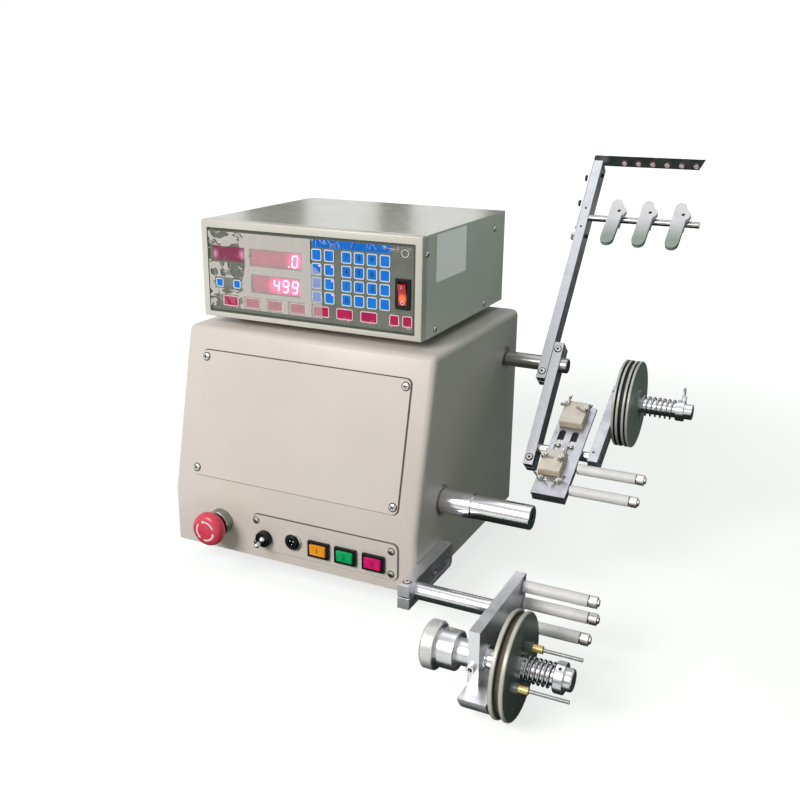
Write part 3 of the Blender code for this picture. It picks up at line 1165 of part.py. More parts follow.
def finger_outline():
    """A rounded tongue below, a narrow head above and a lobe at the right for the set screw."""
    tongue = arc((0.0, -FINGER_TONGUE_LENGTH + FINGER_TONGUE_HALF), FINGER_TONGUE_HALF, -math.pi, 0.0,
                 ROUND_END_STEPS)
    lobe = arc((FINGER_LOBE_OFFSET, FINGER_LOBE_OFFSET), FINGER_LOBE_RADIUS, -math.pi / 3, math.pi / 3,
               LOBE_STEPS)
    head = arc((0.0, FINGER_HEAD_HEIGHT - FINGER_HEAD_HALF), FINGER_HEAD_HALF, 0.0, math.pi,
               ROUND_END_STEPS)
    return tongue + lobe + head


def guide_fingers(mast_frame):
    """Three nylon fingers on the guide rod, each a flat tongue in front of a bored hub."""
    for number, place in enumerate(FINGER_PLACES, start=1):
        frame = frame_at("finger_frame_%d" % number, (place, -GUIDE_ROD_AHEAD, GUIDE_ROD_HEIGHT),
                         FINGER_LEAN - BAR_LEAN, mast_frame)
        bore = GUIDE_ROD_RADIUS + RUNNING_GAP
        front = -bore - SHEET - FINGER_THICKNESS
        finger = piece("guide_finger_%d" % number,
                       plate_mesh([finger_outline()], (front, -bore - SHEET), "Y"),
                       WHITE_NYLON, frame)
        hub = bore + FINGER_HUB_WALL
        join(finger, block_mesh((-FINGER_HUB_HALF, FINGER_HUB_HALF), (-bore - SHEET - SINK, hub),
                                (-hub, hub)))
        cut(finger, rod_mesh((-FINGER_HUB_HALF - OVERRUN, FINGER_HUB_HALF + OVERRUN), bore, "X",
                             steps=SMALL_STEPS))
        cut(finger, rod_mesh((front - OVERRUN, front + FINGER_THICKNESS - SINK), FINGER_SCREW_HOLE, "Y",
                             (FINGER_LOBE_OFFSET, 0.0, FINGER_LOBE_OFFSET), SMALL_STEPS))


def link_bar(traverse_frame):
    """The bar that hangs from the traverse shaft and clamps the cross rod at its lower end."""
    frame = frame_at("link_frame", (0.0, 0.0, 0.0), BAR_LEAN, traverse_frame)
    clamp_bar("link_bar", (LINK_LEFT, LINK_RIGHT), (-LINK_TAIL, LINK_HEAD),
              [(0.0, TRAVERSE_SHAFT_RADIUS), (-CROSS_ROD_REACH, CROSS_ROD_RADIUS)],
              [(0.0, LINK_HEAD + OVERRUN), (-LINK_TAIL - OVERRUN, -CROSS_ROD_REACH)], frame)
    piece("cross_rod", rod_mesh((LINK_LEFT + SEAT_GAP, WHEEL_ARM_RIGHT), CROSS_ROD_RADIUS, "X",
                                (0.0, 0.0, -CROSS_ROD_REACH)), GROUND_STEEL, frame)
    return frame


def roller_axle(left, centre):
    """A roller's fixed axle with a head that keeps the roller on."""
    head = left + SEAT_GAP + ROLLER_LENGTH + 2 * RUNNING_GAP
    end = head + ROLLER_HEAD_LENGTH
    root = left - 2 * SINK
    outer = [(root, 0.0), (root, ROLLER_AXLE_RADIUS), (head, ROLLER_AXLE_RADIUS),
             (head, ROLLER_HEAD_RADIUS), (end, ROLLER_HEAD_RADIUS), (end, 0.0)]
    return turned_mesh(outer, centre=centre, steps=SMALL_STEPS)


def roller(name, left, place, parent):
    """A nylon roller on its axle, with a narrow neck near its free end."""
    frame = frame_at(name + "_frame", (0.0, *place), parent=parent)
    start = left + SEAT_GAP + RUNNING_GAP
    end = start + ROLLER_LENGTH
    neck = end - ROLLER_NECK_AT
    inner_radius = ROLLER_AXLE_RADIUS + RUNNING_GAP
    outer = [(start, ROLLER_RADIUS - ROLLER_SHOULDER), (start + ROLLER_SHOULDER, ROLLER_RADIUS),
             (neck, ROLLER_RADIUS), (neck, ROLLER_RADIUS - ROLLER_NECK_DEPTH),
             (neck + ROLLER_NECK_WIDTH, ROLLER_RADIUS - ROLLER_NECK_DEPTH),
             (neck + ROLLER_NECK_WIDTH, ROLLER_RADIUS),
             (end - ROLLER_SHOULDER, ROLLER_RADIUS), (end, ROLLER_RADIUS - ROLLER_SHOULDER)]
    mesh = turned_mesh(outer, [(start, inner_radius), (end, inner_radius)], steps=SMALL_STEPS)
    piece(name, mesh, WHITE_NYLON, frame)


def felt_plate(link_frame):
    """The plate with two felt pads and two slots, its hub bored for the cross rod, and its two rollers."""
    frame = frame_at("felt_frame", (0.0, 0.0, -CROSS_ROD_REACH), FELT_LEAN - BAR_LEAN, link_frame)
    front = -FELT_PLATE_FRONT
    back = front + FELT_PLATE_THICKNESS
    left, right = FELT_PLATE_SPAN
    half_slot = SLOT_WIDTH / 2
    loops = [[(left, -FELT_PLATE_BOTTOM), (right, -FELT_PLATE_BOTTOM), (right, FELT_PLATE_TOP),
              (left, FELT_PLATE_TOP)]]
    for place in SLOT_PLACES:
        low, high = SLOT_ENDS
        loops.append(rounded_loop((place - half_slot, place + half_slot), (low, high),
                                  half_slot - MERGE_DISTANCE * 2))
    plate = piece("felt_plate", plate_mesh(loops, (front, back), "Y"), ALUMINIUM, frame)
    block_back = front + FELT_BLOCK_DEPTH
    join(plate,
         block_mesh(FELT_HUB_SPAN, (back - SINK, FELT_HUB_BACK), (-FELT_HUB_HALF, FELT_HUB_HALF)),
         block_mesh((left + SINK / 2, right - SINK / 2), (back - SINK, block_back),
                    (-FELT_PLATE_BOTTOM + SINK / 2, -FELT_PLATE_BOTTOM + FELT_BLOCK_HEIGHT)),
         block_mesh((right - FELT_RAIL_WIDTH, right - SINK), (back - SINK, block_back - SINK),
                    (-FELT_PLATE_BOTTOM + SINK, -FELT_RAIL_TOP)))
    for place in FELT_ROLLER_PLACES.values():
        join(plate, roller_axle(right, (0.0, *place)))
    cut(plate, rod_mesh(grown(FELT_HUB_SPAN, OVERRUN), CROSS_ROD_RADIUS + RUNNING_GAP))
    for name, place in FELT_ROLLER_PLACES.items():
        roller(name, right, place, frame)
    for name, (span_x, span_u) in {"felt_pad_upper": UPPER_PAD, "felt_pad_lower": LOWER_PAD}.items():
        pad = block_mesh(span_x, (front - SEAT_GAP - PAD_THICKNESS, front - SEAT_GAP), span_u)
        soften(piece(name, pad, CREAM_FELT, frame), PAD_ROUNDING)


def spring_mesh(name, span, radius, wire, turns):
    """A compression spring along X, one unbroken wire whose ends run straight out along X."""
    low, high = span
    coil = [low + wire, high - wire]
    count = turns * CURL_POINTS
    points = [Vector((low, radius, 0.0))]
    for number in range(count + 1):
        angle = 2 * math.pi * number / CURL_POINTS
        along = coil[0] + (coil[1] - coil[0]) * number / count
        points.append(Vector((along, radius * math.cos(angle), radius * math.sin(angle))))
    points.append(Vector((high, radius, 0.0)))
    curve = bpy.data.curves.new(name, "CURVE")
    curve.dimensions = "3D"
    curve.bevel_depth = wire / 2
    curve.bevel_resolution = 1
    curve.use_fill_caps = True
    spline = curve.splines.new("POLY")
    spline.points.add(len(points) - 1)
    for place, point in zip(spline.points, points):
        place.co = (*point, 1.0)
    print("%s: least gap to itself %.2f mm" % (name, 1000 * least_gap(points, wire)))
    return evaluated_mesh(bpy.data.objects.new(name, curve))


def least_gap(points, wire):
    """The least clear distance between stretches of one wire that lie half a turn or more apart."""
    fine = []
    for start, end in zip(points, points[1:]):
        fine += [start.lerp(end, step / 6) for step in range(6)]
    places = np.array([tuple(point) for point in fine])
    apart = 6 * CURL_POINTS // 2
    distances = [np.linalg.norm(places[number + apart:] - places[number], axis=1).min()
                 for number in range(len(places) - apart)]
    return min(distances) - wire


def grooved_wheel(start, disc_widths, groove_widths, radius, groove_radius, edge):
    """The outer profile of discs side by side with grooves between them."""
    outer = []
    along = start
    for number, width in enumerate(disc_widths):
        outer += [(along, radius - edge), (along + edge, radius), (along + width - edge, radius),
                  (along + width, radius - edge)]
        along += width
        if number < len(groove_widths):
            outer += [(along, groove_radius), (along + groove_widths[number], groove_radius)]
            along += groove_widths[number]
    return outer, along


def tension_wheel(link_frame):
    """The arm on the cross rod, with its axle, grooved wheel, spring and the collar with a wing screw."""
    arm_frame = frame_at("wheel_arm_frame", (0.0, 0.0, -CROSS_ROD_REACH), WHEEL_ARM_LEAN - BAR_LEAN,
                         link_frame)
    arm = clamp_bar("wheel_arm", (WHEEL_ARM_LEFT, WHEEL_ARM_RIGHT),
                    (-WHEEL_ARM_TAIL, WHEEL_AXIS_REACH + WHEEL_ARM_HEAD),
                    [(0.0, CROSS_ROD_RADIUS)], [], arm_frame)
    axle_outer = [(WHEEL_ARM_RIGHT - SINK, 0.0), (WHEEL_ARM_RIGHT - SINK, WHEEL_AXLE_RADIUS),
                  (WHEEL_AXLE_END - SHAFT_EDGE, WHEEL_AXLE_RADIUS),
                  (WHEEL_AXLE_END, WHEEL_AXLE_RADIUS - SHAFT_EDGE),
                  (WHEEL_AXLE_END, 0.0)]
    join(arm, turned_mesh(axle_outer, centre=(0.0, 0.0, WHEEL_AXIS_REACH)))
    axis = frame_at("tension_wheel_frame", (0.0, 0.0, WHEEL_AXIS_REACH), parent=arm_frame)
    outer, end = grooved_wheel(WHEEL_START, WHEEL_DISCS, WHEEL_GROOVES, WHEEL_RADIUS,
                               WHEEL_GROOVE_RADIUS, WHEEL_RIM_EDGE)
    flange_end = end + WHEEL_FLANGE_WIDTH
    outer += [(end, WHEEL_FLANGE_RADIUS), (flange_end, WHEEL_FLANGE_RADIUS)]
    bore = WHEEL_AXLE_RADIUS + RUNNING_GAP
    wheel = turned_mesh(outer, [(WHEEL_START, bore), (flange_end, bore)], steps=LARGE_STEPS)
    piece("tension_wheel", wheel, PULLEY_FINISH, axis)
    span = (flange_end + SEAT_GAP, TENSION_COLLAR_AT - SEAT_GAP)
    spring = spring_mesh("tension_spring", span, TENSION_SPRING_RADIUS, TENSION_SPRING_WIRE,
                         TENSION_SPRING_TURNS)
    piece("tension_spring", spring, SPRING_STEEL, axis)
    collar_end = TENSION_COLLAR_AT + TENSION_COLLAR_WIDTH
    collar = turned_mesh([(TENSION_COLLAR_AT, TENSION_COLLAR_RADIUS),
                          (collar_end, TENSION_COLLAR_RADIUS)],
                         [(TENSION_COLLAR_AT, bore), (collar_end, bore)])
    collar = piece("tension_collar", collar, GROUND_STEEL, axis)
    middle = (TENSION_COLLAR_AT + collar_end) / 2
    foot = TENSION_COLLAR_RADIUS - SINK
    top = TENSION_COLLAR_RADIUS + WING_STEM_HEIGHT
    join(collar, rod_mesh((foot, top), WING_STEM_RADIUS, "Z", (middle, 0.0, 0.0), SMALL_STEPS))
    for side in (-1, 1):
        wing = block_mesh(grown((0.0, 0.0), WING_THICKNESS / 2), (0.0, WING_LENGTH),
                          (-WING_HEIGHT, 0.0))
        turn = Matrix.Rotation(WING_SPREAD, 4, "X") if side > 0 else \
            Matrix.Rotation(math.pi, 4, "Z") @ Matrix.Rotation(WING_SPREAD, 4, "X")
        wing.transform(Matrix.Translation((middle, 0.0, top - SINK)) @ turn)
        join(collar, wing)


def side_bracket():
    """The slotted bracket on the cabinet's side, split at its front end to clamp the rod."""
    frame = frame_at("bracket_frame", (0.0, FRONT_Y, 0.0))
    front = -BRACKET_BEFORE_FRONT
    rear = front + BRACKET_LENGTH
    top = BRACKET_BOTTOM + BRACKET_HEIGHT
    corner = arc((rear - BRACKET_EDGE, BRACKET_BOTTOM + BRACKET_EDGE), BRACKET_EDGE, -math.pi / 2, 0.0,
                 CORNER_STEPS)
    outline = [(front, BRACKET_BOTTOM)] + corner + [(rear, top), (front, top)]
    half_slot = BRACKET_SLOT_WIDTH / 2
    slot = rounded_loop(BRACKET_SLOT, (BRACKET_SLOT_Z - half_slot, BRACKET_SLOT_Z + half_slot),
                        half_slot - MERGE_DISTANCE * 2)
    bore = circle_loop((-CLAMP_ROD_BEFORE_FRONT, CLAMP_ROD_Z), CLAMP_ROD_RADIUS + RUNNING_GAP)
    bracket = piece("side_bracket", plate_mesh([outline, slot, bore], (BRACKET_LEFT, BRACKET_RIGHT),
                                               "X"),
                    ALUMINIUM, frame)
    cut(bracket, block_mesh((BRACKET_LEFT - OVERRUN, BRACKET_RIGHT + OVERRUN),
                            (front - OVERRUN, -CLAMP_ROD_BEFORE_FRONT),
                            grown((CLAMP_ROD_Z, CLAMP_ROD_Z), CLAMP_SLIT / 2)))


def brake():
    """The rod in the bracket and the plate on it, with the brake wheel, spring, nut, knob and rollers."""
    rod_frame = frame_at("clamp_rod_frame", (0.0, CLAMP_ROD_Y, CLAMP_ROD_Z))
    left, right = BRAKE_PLATE_SPAN
    rod_left = BRACKET_LEFT + SEAT_GAP
    socket_end = left + CLAMP_ROD_SOCKET
    piece("clamp_rod", rod_mesh((rod_left, socket_end - SEAT_GAP), CLAMP_ROD_RADIUS), GROUND_STEEL,
          rod_frame)
    brake_plate(rod_frame, socket_end)
    axis = frame_at("brake_wheel_frame", (0.0, BRAKE_AXIS_Y - CLAMP_ROD_Y, BRAKE_AXIS_Z - CLAMP_ROD_Z),
                    parent=rod_frame)
    brake_knob(axis)
    brake_wheel(axis)
    for name, ahead, height in BRAKE_ROLLER_PLACES:
        roller("brake_roller_" + name, right, (FRONT_Y - ahead - CLAMP_ROD_Y, height - CLAMP_ROD_Z),
               rod_frame)


def brake_plate(rod_frame, socket_end):
    """The thick plate with the fixed axle, the pins for three rollers and the guard below its front end."""
    left, right = BRAKE_PLATE_SPAN
    front = BRAKE_PLATE_FRONT_Y - CLAMP_ROD_Y
    back = BRAKE_PLATE_BACK_Y - CLAMP_ROD_Y
    low = BRAKE_PLATE_BOTTOM - CLAMP_ROD_Z
    axis_y = BRAKE_AXIS_Y - CLAMP_ROD_Y
    axis_z = BRAKE_AXIS_Z - CLAMP_ROD_Z
    plate = piece("brake_plate", block_mesh((left, right), (front, back),
                                            (low, low + BRAKE_PLATE_HEIGHT)),
                  ALUMINIUM, rod_frame)
    guard_top = GUARD_TOP - CLAMP_ROD_Z
    dip = math.asin((axis_z - guard_top) / GUARD_RADIUS)
    guard = arc((axis_y, axis_z), GUARD_RADIUS, math.pi + dip, 2 * math.pi - dip, GUARD_STEPS)
    join(plate, plate_mesh([guard], (left + SINK / 2, GUARD_END), "X"))
    ring_end = right + BRAKE_RING_WIDTH
    axle_end = BRAKE_NUT_AT + BRAKE_NUT_WIDTH
    axle = [(right - SINK, 0.0), (right - SINK, BRAKE_RING_RADIUS), (ring_end, BRAKE_RING_RADIUS),
            (ring_end, BRAKE_AXLE_RADIUS), (axle_end, BRAKE_AXLE_RADIUS), (axle_end, 0.0)]
    join(plate, turned_mesh(axle, centre=(0.0, axis_y, axis_z)))
    for name, ahead, height in BRAKE_ROLLER_PLACES:
        join(plate, roller_axle(right, (0.0, FRONT_Y - ahead - CLAMP_ROD_Y, height - CLAMP_ROD_Z)))
    cut(plate, rod_mesh((left - OVERRUN, socket_end), CLAMP_ROD_RADIUS + SEAT_GAP))


def brake_knob(axis):
    """The adjusting knob: a wide grip, a groove, a smooth collar and a neck up to the plate."""
    grip_end = KNOB_LEFT + KNOB_GRIP_LENGTH
    collar = grip_end + KNOB_GROOVE
    collar_end = collar + KNOB_COLLAR_LENGTH
    end = BRAKE_PLATE_SPAN[0] - SEAT_GAP
    outer = [(KNOB_LEFT, 0.0), (KNOB_LEFT, KNOB_GRIP_RADIUS - KNOB_EDGE),
             (KNOB_LEFT + KNOB_EDGE, KNOB_GRIP_RADIUS),
             (grip_end - KNOB_EDGE, KNOB_GRIP_RADIUS), (grip_end, KNOB_GRIP_RADIUS - KNOB_EDGE),
             (grip_end, KNOB_GROOVE_RADIUS), (collar, KNOB_GROOVE_RADIUS), (collar, KNOB_COLLAR_RADIUS),
             (collar_end - KNOB_EDGE, KNOB_COLLAR_RADIUS), (collar_end, KNOB_COLLAR_RADIUS - KNOB_EDGE),
             (collar_end, KNOB_NECK_RADIUS), (end, KNOB_NECK_RADIUS), (end, 0.0)]
    piece("brake_knob", turned_mesh(outer), ALUMINIUM, axis)


def brake_wheel(axis):
    """The two discs with a groove between them, the two posts with pins, and the spring and nut outside."""
    outer, end = grooved_wheel(BRAKE_WHEEL_START, BRAKE_DISCS, [BRAKE_GROOVE_WIDTH], BRAKE_WHEEL_RADIUS,
                               BRAKE_GROOVE_RADIUS, BRAKE_RIM_EDGE)
    hub_end = end + BRAKE_HUB_WIDTH
    outer += [(end, BRAKE_HUB_RADIUS), (hub_end, BRAKE_HUB_RADIUS)]
    bore = BRAKE_AXLE_RADIUS + RUNNING_GAP
    wheel = piece("brake_wheel", turned_mesh(outer, [(BRAKE_WHEEL_START, bore), (hub_end, bore)],
                                             steps=LARGE_STEPS),
                  PULLEY_FINISH, axis)
    post_end = end + POST_LENGTH
    post = [(end - SINK, 0.0), (end - SINK, POST_RADIUS), (post_end, POST_RADIUS),
            (post_end, PIN_RADIUS),
            (post_end + PIN_LENGTH, PIN_RADIUS), (post_end + PIN_LENGTH, 0.0)]
    for place in POST_PLACES:
        join(wheel, turned_mesh(post, centre=(0.0, *place), steps=SMALL_STEPS))
    span = (hub_end + SEAT_GAP, BRAKE_NUT_AT - SEAT_GAP)
    spring = spring_mesh("brake_spring", span, BRAKE_SPRING_RADIUS, BRAKE_SPRING_WIRE,
                         BRAKE_SPRING_TURNS)
    piece("brake_spring", spring, SPRING_STEEL, axis)
    nut_end = BRAKE_NUT_AT + BRAKE_NUT_WIDTH
    cap_end = nut_end + BRAKE_NUT_END_WIDTH
    outer = [(BRAKE_NUT_AT, BRAKE_NUT_RADIUS - BRAKE_NUT_EDGE),
             (BRAKE_NUT_AT + BRAKE_NUT_EDGE, BRAKE_NUT_RADIUS),
             (nut_end, BRAKE_NUT_RADIUS), (nut_end, BRAKE_NUT_END_RADIUS),
             (cap_end - BRAKE_NUT_EDGE, BRAKE_NUT_END_RADIUS),
             (cap_end, BRAKE_NUT_END_RADIUS - BRAKE_NUT_EDGE), (cap_end, 0.0)]
    inner = [(BRAKE_NUT_AT, bore), (nut_end + SEAT_GAP, bore), (nut_end + SEAT_GAP, 0.0)]
    piece("brake_nut", turned_cup(outer, inner, (0.0, 0.0, 0.0), "X", MEDIUM_STEPS), GROUND_STEEL, axis)


def centre_over_origin():
    """Moves everything alike, so that the origin is the middle of the whole machine's underside."""
    bpy.context.view_layer.update()
    depsgraph = bpy.context.evaluated_depsgraph_get()
    points = []
    for obj in PARTS.objects:
        if obj.type == "MESH":
            finished = obj.evaluated_get(depsgraph)
            points += [obj.matrix_world @ vertex.co for vertex in finished.to_mesh().vertices]
            finished.to_mesh_clear()
    low = [min(point[axis] for point in points) for axis in range(3)]
    high = [max(point[axis] for point in points) for axis in range(3)]
    middle = Vector(((low[0] + high[0]) / 2, (low[1] + high[1]) / 2, low[2]))
    for obj in [*PARTS.objects, *CUTTERS.objects]:
        if obj.parent is None:
            obj.location -= middle


cabinet_shell()
cabinet_tray()
power_inlet()
feet()
access_cover()
switch_plate()
push_buttons()
pedal_socket()
toggle_switch()
emergency_stop()
box_chassis()
box_cover()
box_front_frame()
key_panel()
power_switch()
spindle()
TRAVERSE_FRAME = traverse()
mast(TRAVERSE_FRAME)
LINK_FRAME = link_bar(TRAVERSE_FRAME)
felt_plate(LINK_FRAME)
tension_wheel(LINK_FRAME)
side_bracket()
brake()
centre_over_origin()
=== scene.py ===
"""The look of a wire coil winding machine, dressed around its CAD frame.

Lengths are metres, with millimetres where a name says so. Places are given in the machine's own
axes: X along the spindle to the right, Y to the back and Z up, from the middle of the cabinet's
underside. MACHINE puts them in the frame.
"""
import math

import bmesh
import bpy
from mathutils import Matrix, Vector, noise


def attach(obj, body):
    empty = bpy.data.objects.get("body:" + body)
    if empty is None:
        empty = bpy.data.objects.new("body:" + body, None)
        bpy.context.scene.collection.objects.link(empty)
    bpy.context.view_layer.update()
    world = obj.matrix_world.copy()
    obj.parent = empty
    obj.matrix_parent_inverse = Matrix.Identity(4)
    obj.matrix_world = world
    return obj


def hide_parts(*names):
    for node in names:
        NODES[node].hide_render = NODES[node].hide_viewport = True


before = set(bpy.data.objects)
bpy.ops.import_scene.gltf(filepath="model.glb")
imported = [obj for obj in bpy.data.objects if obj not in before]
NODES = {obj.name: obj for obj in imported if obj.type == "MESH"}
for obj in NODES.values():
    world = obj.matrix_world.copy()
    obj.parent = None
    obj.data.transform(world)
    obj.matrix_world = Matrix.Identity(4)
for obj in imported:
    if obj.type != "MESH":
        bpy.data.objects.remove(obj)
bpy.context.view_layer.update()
MACHINE = Matrix.Translation((-0.11225, -0.001574, 0.032))
FLOOR_Z = -0.032
MM = 0.001
SMOOTH_BELOW = math.radians(35)
EDGE_ROUNDING = 0.0003
LIFT = 0.0001
PRINT = 0.00008
WHITE = (1.0, 1.0, 1.0, 1.0)


def leaning(y, z, degrees):
    """The axes of a bar that leans back: local X is the machine's, Y goes into the bar, Z up it."""
    return Matrix.Translation((0.0, y, z)) @ Matrix.Rotation(-math.radians(degrees), 4, "X")


UPRIGHT = Matrix.Identity(4)
SLOPE = leaning(-0.146, 0.063, math.degrees(math.atan2(43, 187)))
MAST = leaning(0.110, 0.1969, 40)
FELT = leaning(0.040579, 0.114167, 60)
FINGER = leaning(0.233584, 0.355849, 50)
TENSION_AXIS = Vector((0.0, 0.118521, 0.159167))
BRAKE_AXIS = Vector((0.0, -0.2549, 0.0202))
SPINDLE_AXIS = Vector((0.0, -0.078, 0.0826))
UPPER_POST = BRAKE_AXIS + Vector((0.0, 0.0035, 0.0203))
LOWER_POST = BRAKE_AXIS + Vector((0.0, -0.0333, 0.0007))
TENSION_GROOVES = ((0.3004, 0.3024), (0.3054, 0.3090), (0.3120, 0.3138))
FRONT, RIGHT, LEFT = Vector((0, -1, 0)), Vector((1, 0, 0)), Vector((-1, 0, 0))
UP, DOWN = Vector((0, 0, 1)), Vector((0, 0, -1))


# Materials

def linear(code):
    """An sRGB hex colour as linear red, green and blue, with an alpha of 1."""
    shares = [int(code[start:start + 2], 16) / 255 for start in (0, 2, 4)]
    return (*[s / 12.92 if s <= 0.04045 else ((s + 0.055) / 1.055) ** 2.4 for s in shares], 1.0)


def per(size_mm):
    """The scale at which a pattern repeats about every size_mm."""
    return 1.0 / (size_mm * MM)


def join(tree, value, socket):
    """Gives a socket a value, or links it to an output or to a node's first live output."""
    if isinstance(value, bpy.types.Node):
        value = next(output for output in value.outputs if output.enabled)
    if isinstance(value, bpy.types.NodeSocket):
        tree.links.new(value, socket)
    else:
        socket.default_value = value


def add(tree, kind, inputs=(), **settings):
    """Adds a node with its settings, its inputs given in order, or by name or number. A kind that
    names no family is a shader's."""
    family = "" if kind.startswith(("Geometry", "Function", "NodeGroup")) else "ShaderNode"
    made = tree.nodes.new(family + kind)
    for name, value in settings.items():
        setattr(made, name, value)
    for key, value in inputs.items() if isinstance(inputs, dict) else enumerate(inputs):
        join(tree, value, made.inputs[key])
    return made


def blank(name, **values):
    """A new material with its shader's values set, its tree and its Object coordinates."""
    material = bpy.data.materials.new(name)
    material.use_nodes = True
    tree = material.node_tree
    for key, value in values.items():
        tree.nodes["Principled BSDF"].inputs[key.replace("_", " ")].default_value = value
    return material, tree, add(tree, "TexCoord").outputs["Object"]


def wire_up(material, sockets, height=None, depth_mm=0.0, strength=1.0):
    """Sets or links a material's sockets, gives it a relief of that depth, and returns it."""
    tree = material.node_tree
    if height is not None:
        sockets["Normal"] = add(tree, "Bump", {"Height": height, "Distance": depth_mm * MM,
                                               "Strength": strength})
    for name, value in sockets.items():
        join(tree, value, tree.nodes["Principled BSDF"].inputs[name])
    return material


def toned(tree, field, low, high, first, second, most=1.0):
    """A tone that goes from the first to the second as a field goes from low to high. most says how
    far it goes."""
    share = add(tree, "MapRange", [field, low, high, 0.0, most])
    ends = [linear(tone) if isinstance(tone, str) else tone for tone in (first, second)]
    return add(tree, "Mix", {0: share, 6: ends[0], 7: ends[1]}, data_type="RGBA")


def from_axis(tree, place, axis):
    """How far a place lies from an axis along X."""
    off = add(tree, "VectorMath", [place, MACHINE @ axis], operation="SUBTRACT")
    flat = add(tree, "VectorMath", [off, (0.0, 1.0, 1.0)], operation="MULTIPLY")
    return add(tree, "VectorMath", [flat], operation="LENGTH")


def baked_enamel(name, tones, gloss, peel_mm=2.2, peel_depth_mm=0.05):
    """Enamel sprayed on steel sheet and baked. It has a satin skin with the orange peel of the spray,
    a tone that drifts over a hand's width, and fine specks of dust caught in it."""
    main, drifted, dusty = tones.split()
    material, tree, place = blank(name, Coat_Weight=0.15, Coat_Roughness=0.25)
    drift = add(tree, "TexNoise", {"Vector": place, "Scale": per(90), "Detail": 3.0})
    peel = add(tree, "TexNoise", {"Vector": place, "Scale": per(peel_mm), "Detail": 2.0})
    specks = add(tree, "TexNoise", {"Vector": place, "Scale": per(0.9), "Detail": 1.0})
    tone = toned(tree, drift, 0.38, 0.62, main, drifted)
    tone = toned(tree, specks, 0.72, 0.80, tone, dusty, 0.12)
    rough = add(tree, "MapRange", [peel, 0.3, 0.7, gloss - 0.04, gloss + 0.05])
    return wire_up(material, {"Base Color": tone, "Roughness": rough}, peel, peel_depth_mm, 0.35)


def worked_metal(name, tones, roughness, lay, line_mm=0.5, lean=0.0, depth_mm=0.01, spots=0.0):
    """Bare metal as a cutter, wheel or brush left it, with fine lines along its lay, a few of them
    darker. lay gives how stretched the lines are along local X, Y and Z, before the lean."""
    bright, dark, stain = tones.split()
    material, tree, place = blank(name, Metallic=1.0)
    lined = add(tree, "Mapping", {"Vector": place, "Rotation": (lean, 0.0, 0.0),
                                  "Scale": tuple(1.0 / share for share in lay)})
    lines = add(tree, "TexNoise", {"Vector": lined, "Scale": per(line_mm), "Detail": 4.0,
                                   "Roughness": 0.65})
    cloud = add(tree, "TexNoise", {"Vector": place, "Scale": per(14), "Detail": 4.0})
    tone = toned(tree, lines, 0.3, 0.7, dark, bright)
    tone = toned(tree, cloud, 0.55, 0.75, tone, stain, spots)
    rough = add(tree, "MapRange", [cloud, 0.3, 0.7, roughness * 0.8, roughness * 1.25])
    return wire_up(material, {"Base Color": tone, "Roughness": rough}, lines, depth_mm, 0.5)


def turned_metal(name, tones, roughness, axis, metallic=1.0, rim=None):
    """Metal faced on a lathe, with rings about its axis. rim gives the radius past which the tone
    changes, where the rim is rubbed bright or painted, and its colour."""
    bright, dark = tones.split()
    material, tree, place = blank(name, Metallic=metallic)
    radius = from_axis(tree, place, axis)
    rings = add(tree, "TexNoise", {"W": radius, "Scale": per(0.6), "Detail": 3.0},
                noise_dimensions="1D")
    cloud = add(tree, "TexNoise", {"Vector": place, "Scale": per(16), "Detail": 4.0})
    mixed = add(tree, "Math", [rings, cloud], operation="ADD")
    tone = toned(tree, mixed, 0.7, 1.3, dark, bright)
    if rim:
        tone = toned(tree, radius, rim[0] - 0.0003, rim[0] + 0.0003, tone, rim[1])
    rough = add(tree, "MapRange", [mixed, 0.7, 1.3, roughness * 0.8, roughness * 1.2])
    return wire_up(material, {"Base Color": tone, "Roughness": rough}, rings, 0.008, 0.4)


def moulded(name, tones, roughness, grain_mm=0.7, grain_depth_mm=0.02, thin=None, **values):
    """Plastic or rubber from a mould: one tone that hardly drifts, and the mould's fine grain. thin
    gives a darker tone for its thin lower end, painted shade, and the heights between which that
    takes over."""
    material, tree, place = blank(name, **values)
    grain = add(tree, "TexNoise", {"Vector": place, "Scale": per(grain_mm), "Detail": 2.0})
    drift = add(tree, "TexNoise", {"Vector": place, "Scale": per(12), "Detail": 3.0})
    tone = toned(tree, drift, 0.35, 0.65, *tones.split())
    # Painted shade: the thin lower end turns to the darker tone
    if thin:
        height = add(tree, "SeparateXYZ", [place]).outputs["Z"]
        tone = toned(tree, height, thin[2] - FLOOR_Z, thin[1] - FLOOR_Z, tone, thin[0])
    rough = add(tree, "MapRange", [grain, 0.3, 0.7, roughness - 0.05, roughness + 0.05])
    return wire_up(material, {"Base Color": tone, "Roughness": rough}, grain, grain_depth_mm, 0.5)


def pressed_felt(name, light, dark):
    """Wool felt cut from a pressed sheet: tangled fibres about 0.2 mm thick, drawn at 0.6 mm so that
    they show, in clumps of lighter and darker wool under a fuzzy skin."""
    material, tree, place = blank(name, Roughness=0.95, Sheen_Weight=0.35, Sheen_Roughness=0.5)
    fibre = add(tree, "TexNoise", {"Vector": place, "Scale": per(0.6), "Detail": 6.0,
                                   "Roughness": 0.75, "Distortion": 1.5})
    clump = add(tree, "TexNoise", {"Vector": place, "Scale": per(4.0), "Detail": 4.0})
    mixed = add(tree, "Math", [fibre, clump], operation="ADD")
    tone = toned(tree, mixed, 0.75, 1.25, dark, light)
    return wire_up(material, {"Base Color": tone}, mixed, 0.35, 0.8)


def lit(name, code, strength):
    """A lamp or a lit segment behind a lens: it glows, a little unevenly."""
    material, tree, place = blank(name, Roughness=0.3, Emission_Strength=strength)
    cloud = add(tree, "TexNoise", {"Vector": place, "Scale": per(3), "Detail": 2.0})
    tone = toned(tree, cloud, 0.35, 0.65, code, "ffffff", 0.25)
    return wire_up(material, {"Base Color": tone, "Emission Color": tone})


